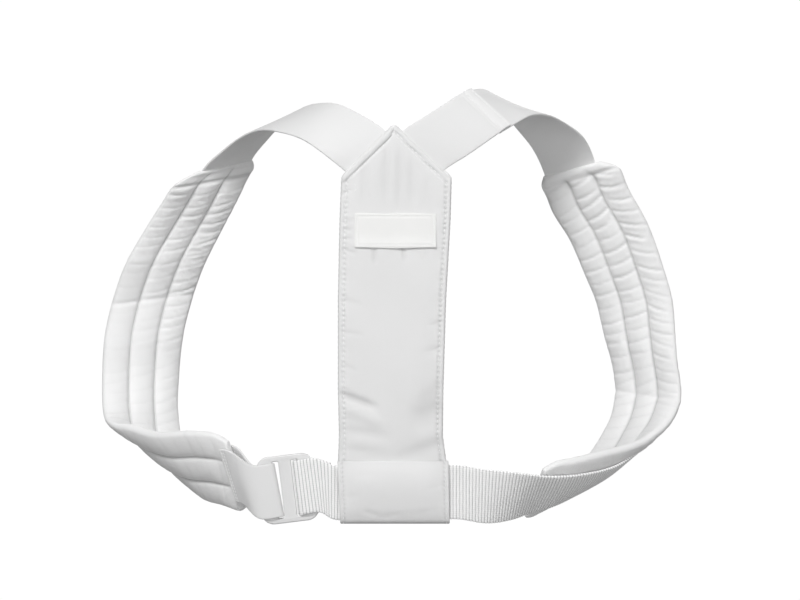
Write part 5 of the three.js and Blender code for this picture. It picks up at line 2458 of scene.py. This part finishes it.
@dataclass
class Studio:
    """The camera, the lights and the pale floor.

    Attributes:
        distance: From the camera to the panel's middle plane.
        aside: The camera's place to the right of the panel's middle.
        ambient: Strength of the light from all round.
        backdrop: Extra brightness of the background.
        floor_glow: The floor's brightness to the camera.
    """

    distance: float = 1300 * MM
    aside: float = 4.2 * MM
    height: float = -132.5 * MM
    focal_pixels: float = 1857.0
    picture_width: float = 800.0
    sensor: float = 36.0
    ambient: float = 0.19
    backdrop: float = 0.83
    floor_drop: float = 500 * MM
    floor_half: float = 30.0
    floor_grey: float = 0.3
    floor_glow: float = 1.02

    def build(self) -> None:
        """Builds the studio."""
        self.camera()
        self.world()
        self.floor()
        for lamp in LAMPS:
            self.light(lamp)
        bpy.context.scene.view_settings.view_transform = "Standard"

    def camera(self) -> None:
        """Places the camera."""
        data = bpy.data.cameras.new("camera")
        data.sensor_width = self.sensor
        data.lens = data.sensor_width * self.focal_pixels / self.picture_width
        camera = link(bpy.data.objects.new("camera", data))
        camera.location = (self.aside, PANEL_PLANE[1] - self.distance, self.height)
        camera.rotation_euler = (math.pi / 2, 0.0, 0.0)
        bpy.context.scene.camera = camera

    def world(self) -> None:
        """Lights the scene from all round, and shows white behind it."""
        world = bpy.data.worlds.new("studio")
        bpy.context.scene.world = world
        world.use_nodes = True
        sheet = Sheet(world.node_tree)
        world.node_tree.nodes.clear()
        seen = sheet.node("ShaderNodeLightPath").outputs["Is Camera Ray"]
        strength = sheet.math("ADD", self.ambient, sheet.math("MULTIPLY", seen, self.backdrop))
        glow = sheet.node(
            "ShaderNodeBackground", inputs={"Color": (1.0, 1.0, 1.0, 1.0), "Strength": strength}
        )
        sheet.node("ShaderNodeOutputWorld", inputs={0: glow.outputs[0]})

    def floor(self) -> None:
        """Lays the pale floor."""
        half = self.floor_half
        level = CAD_BOX[0].z - self.floor_drop
        mesh = bpy.data.meshes.new("floor")
        corners = [(x * half, y * half, level) for x, y in ((-1, -1), (1, -1), (1, 1), (-1, 1))]
        mesh.from_pydata(corners, [], [(0, 1, 2, 3)])
        floor = link(bpy.data.objects.new("floor", mesh))
        made = bpy.data.materials.new("pale_floor")
        made.use_nodes = True
        sheet = Sheet(made.node_tree)
        shader = made.node_tree.nodes["Principled BSDF"]
        shader.inputs["Base Color"].default_value = (*[self.floor_grey] * 3, 1.0)
        shader.inputs["Roughness"].default_value = 0.9
        glow = sheet.node("ShaderNodeEmission", inputs={"Strength": self.floor_glow})
        seen = sheet.node("ShaderNodeLightPath").outputs["Is Camera Ray"]
        mixed = sheet.node(
            "ShaderNodeMixShader", inputs={0: seen, 1: shader.outputs[0], 2: glow.outputs[0]}
        )
        sheet.link(mixed.outputs[0], made.node_tree.nodes["Material Output"].inputs[0])
        floor.data.materials.append(made)

    def light(self, lamp: Lamp) -> None:
        """Adds a lamp that faces the object.

        Args:
            lamp: The lamp.
        """
        data = bpy.data.lights.new(lamp.name, "AREA")
        data.shape = "SQUARE"
        data.size = lamp.size
        data.energy = lamp.power
        made = link(bpy.data.objects.new(lamp.name, data))
        made.location = lamp.place
        aim = Vector((0, PANEL_PLANE[1], self.height)) - made.location
        made.rotation_euler = aim.to_track_quat("-Z", "Y").to_euler()


def main() -> None:
    """Builds the corrector and its studio."""
    logging.basicConfig(level=logging.INFO, format="%(name)s: %(message)s")
    Studio().build()
    wardrobe = Wardrobe()
    needle = Needle(wardrobe)
    Panel().build(wardrobe, needle)
    Tunnel().build(wardrobe, needle)
    Label().build(wardrobe, needle)
    left = Pad(
        name="pad_left",
        side=Side.LEFT,
        rows=PAD_LEFT,
        slack=LEFT_SLACK,
        end=LEFT_END,
        kink=113 * MM,
        roll=4 * MM,
        tack=11 * MM,
        slants=(1, 3, 5),
        seed=11,
    )
    right = Pad(
        name="pad_right",
        side=Side.RIGHT,
        rows=PAD_RIGHT,
        slack=RIGHT_SLACK,
        end=RIGHT_END,
        kink=183 * MM,
        roll=8.5 * MM,
        tack=0.0,
        slants=(5, -5, -5),
        seed=23,
    )
    for pad in (left, right):
        pad.build(wardrobe, needle)
    Straps(
        strap_run(STRAP_LEFT, left.run, Side.LEFT, STRAP_SPACING),
        strap_run(STRAP_RIGHT, right.run, Side.RIGHT, STRAP_SPACING),
    ).build(wardrobe, needle)
    Belt(left.run, right.run).build(wardrobe, needle)
    Buckle().build(wardrobe)


if __name__ == "__main__":
    main()
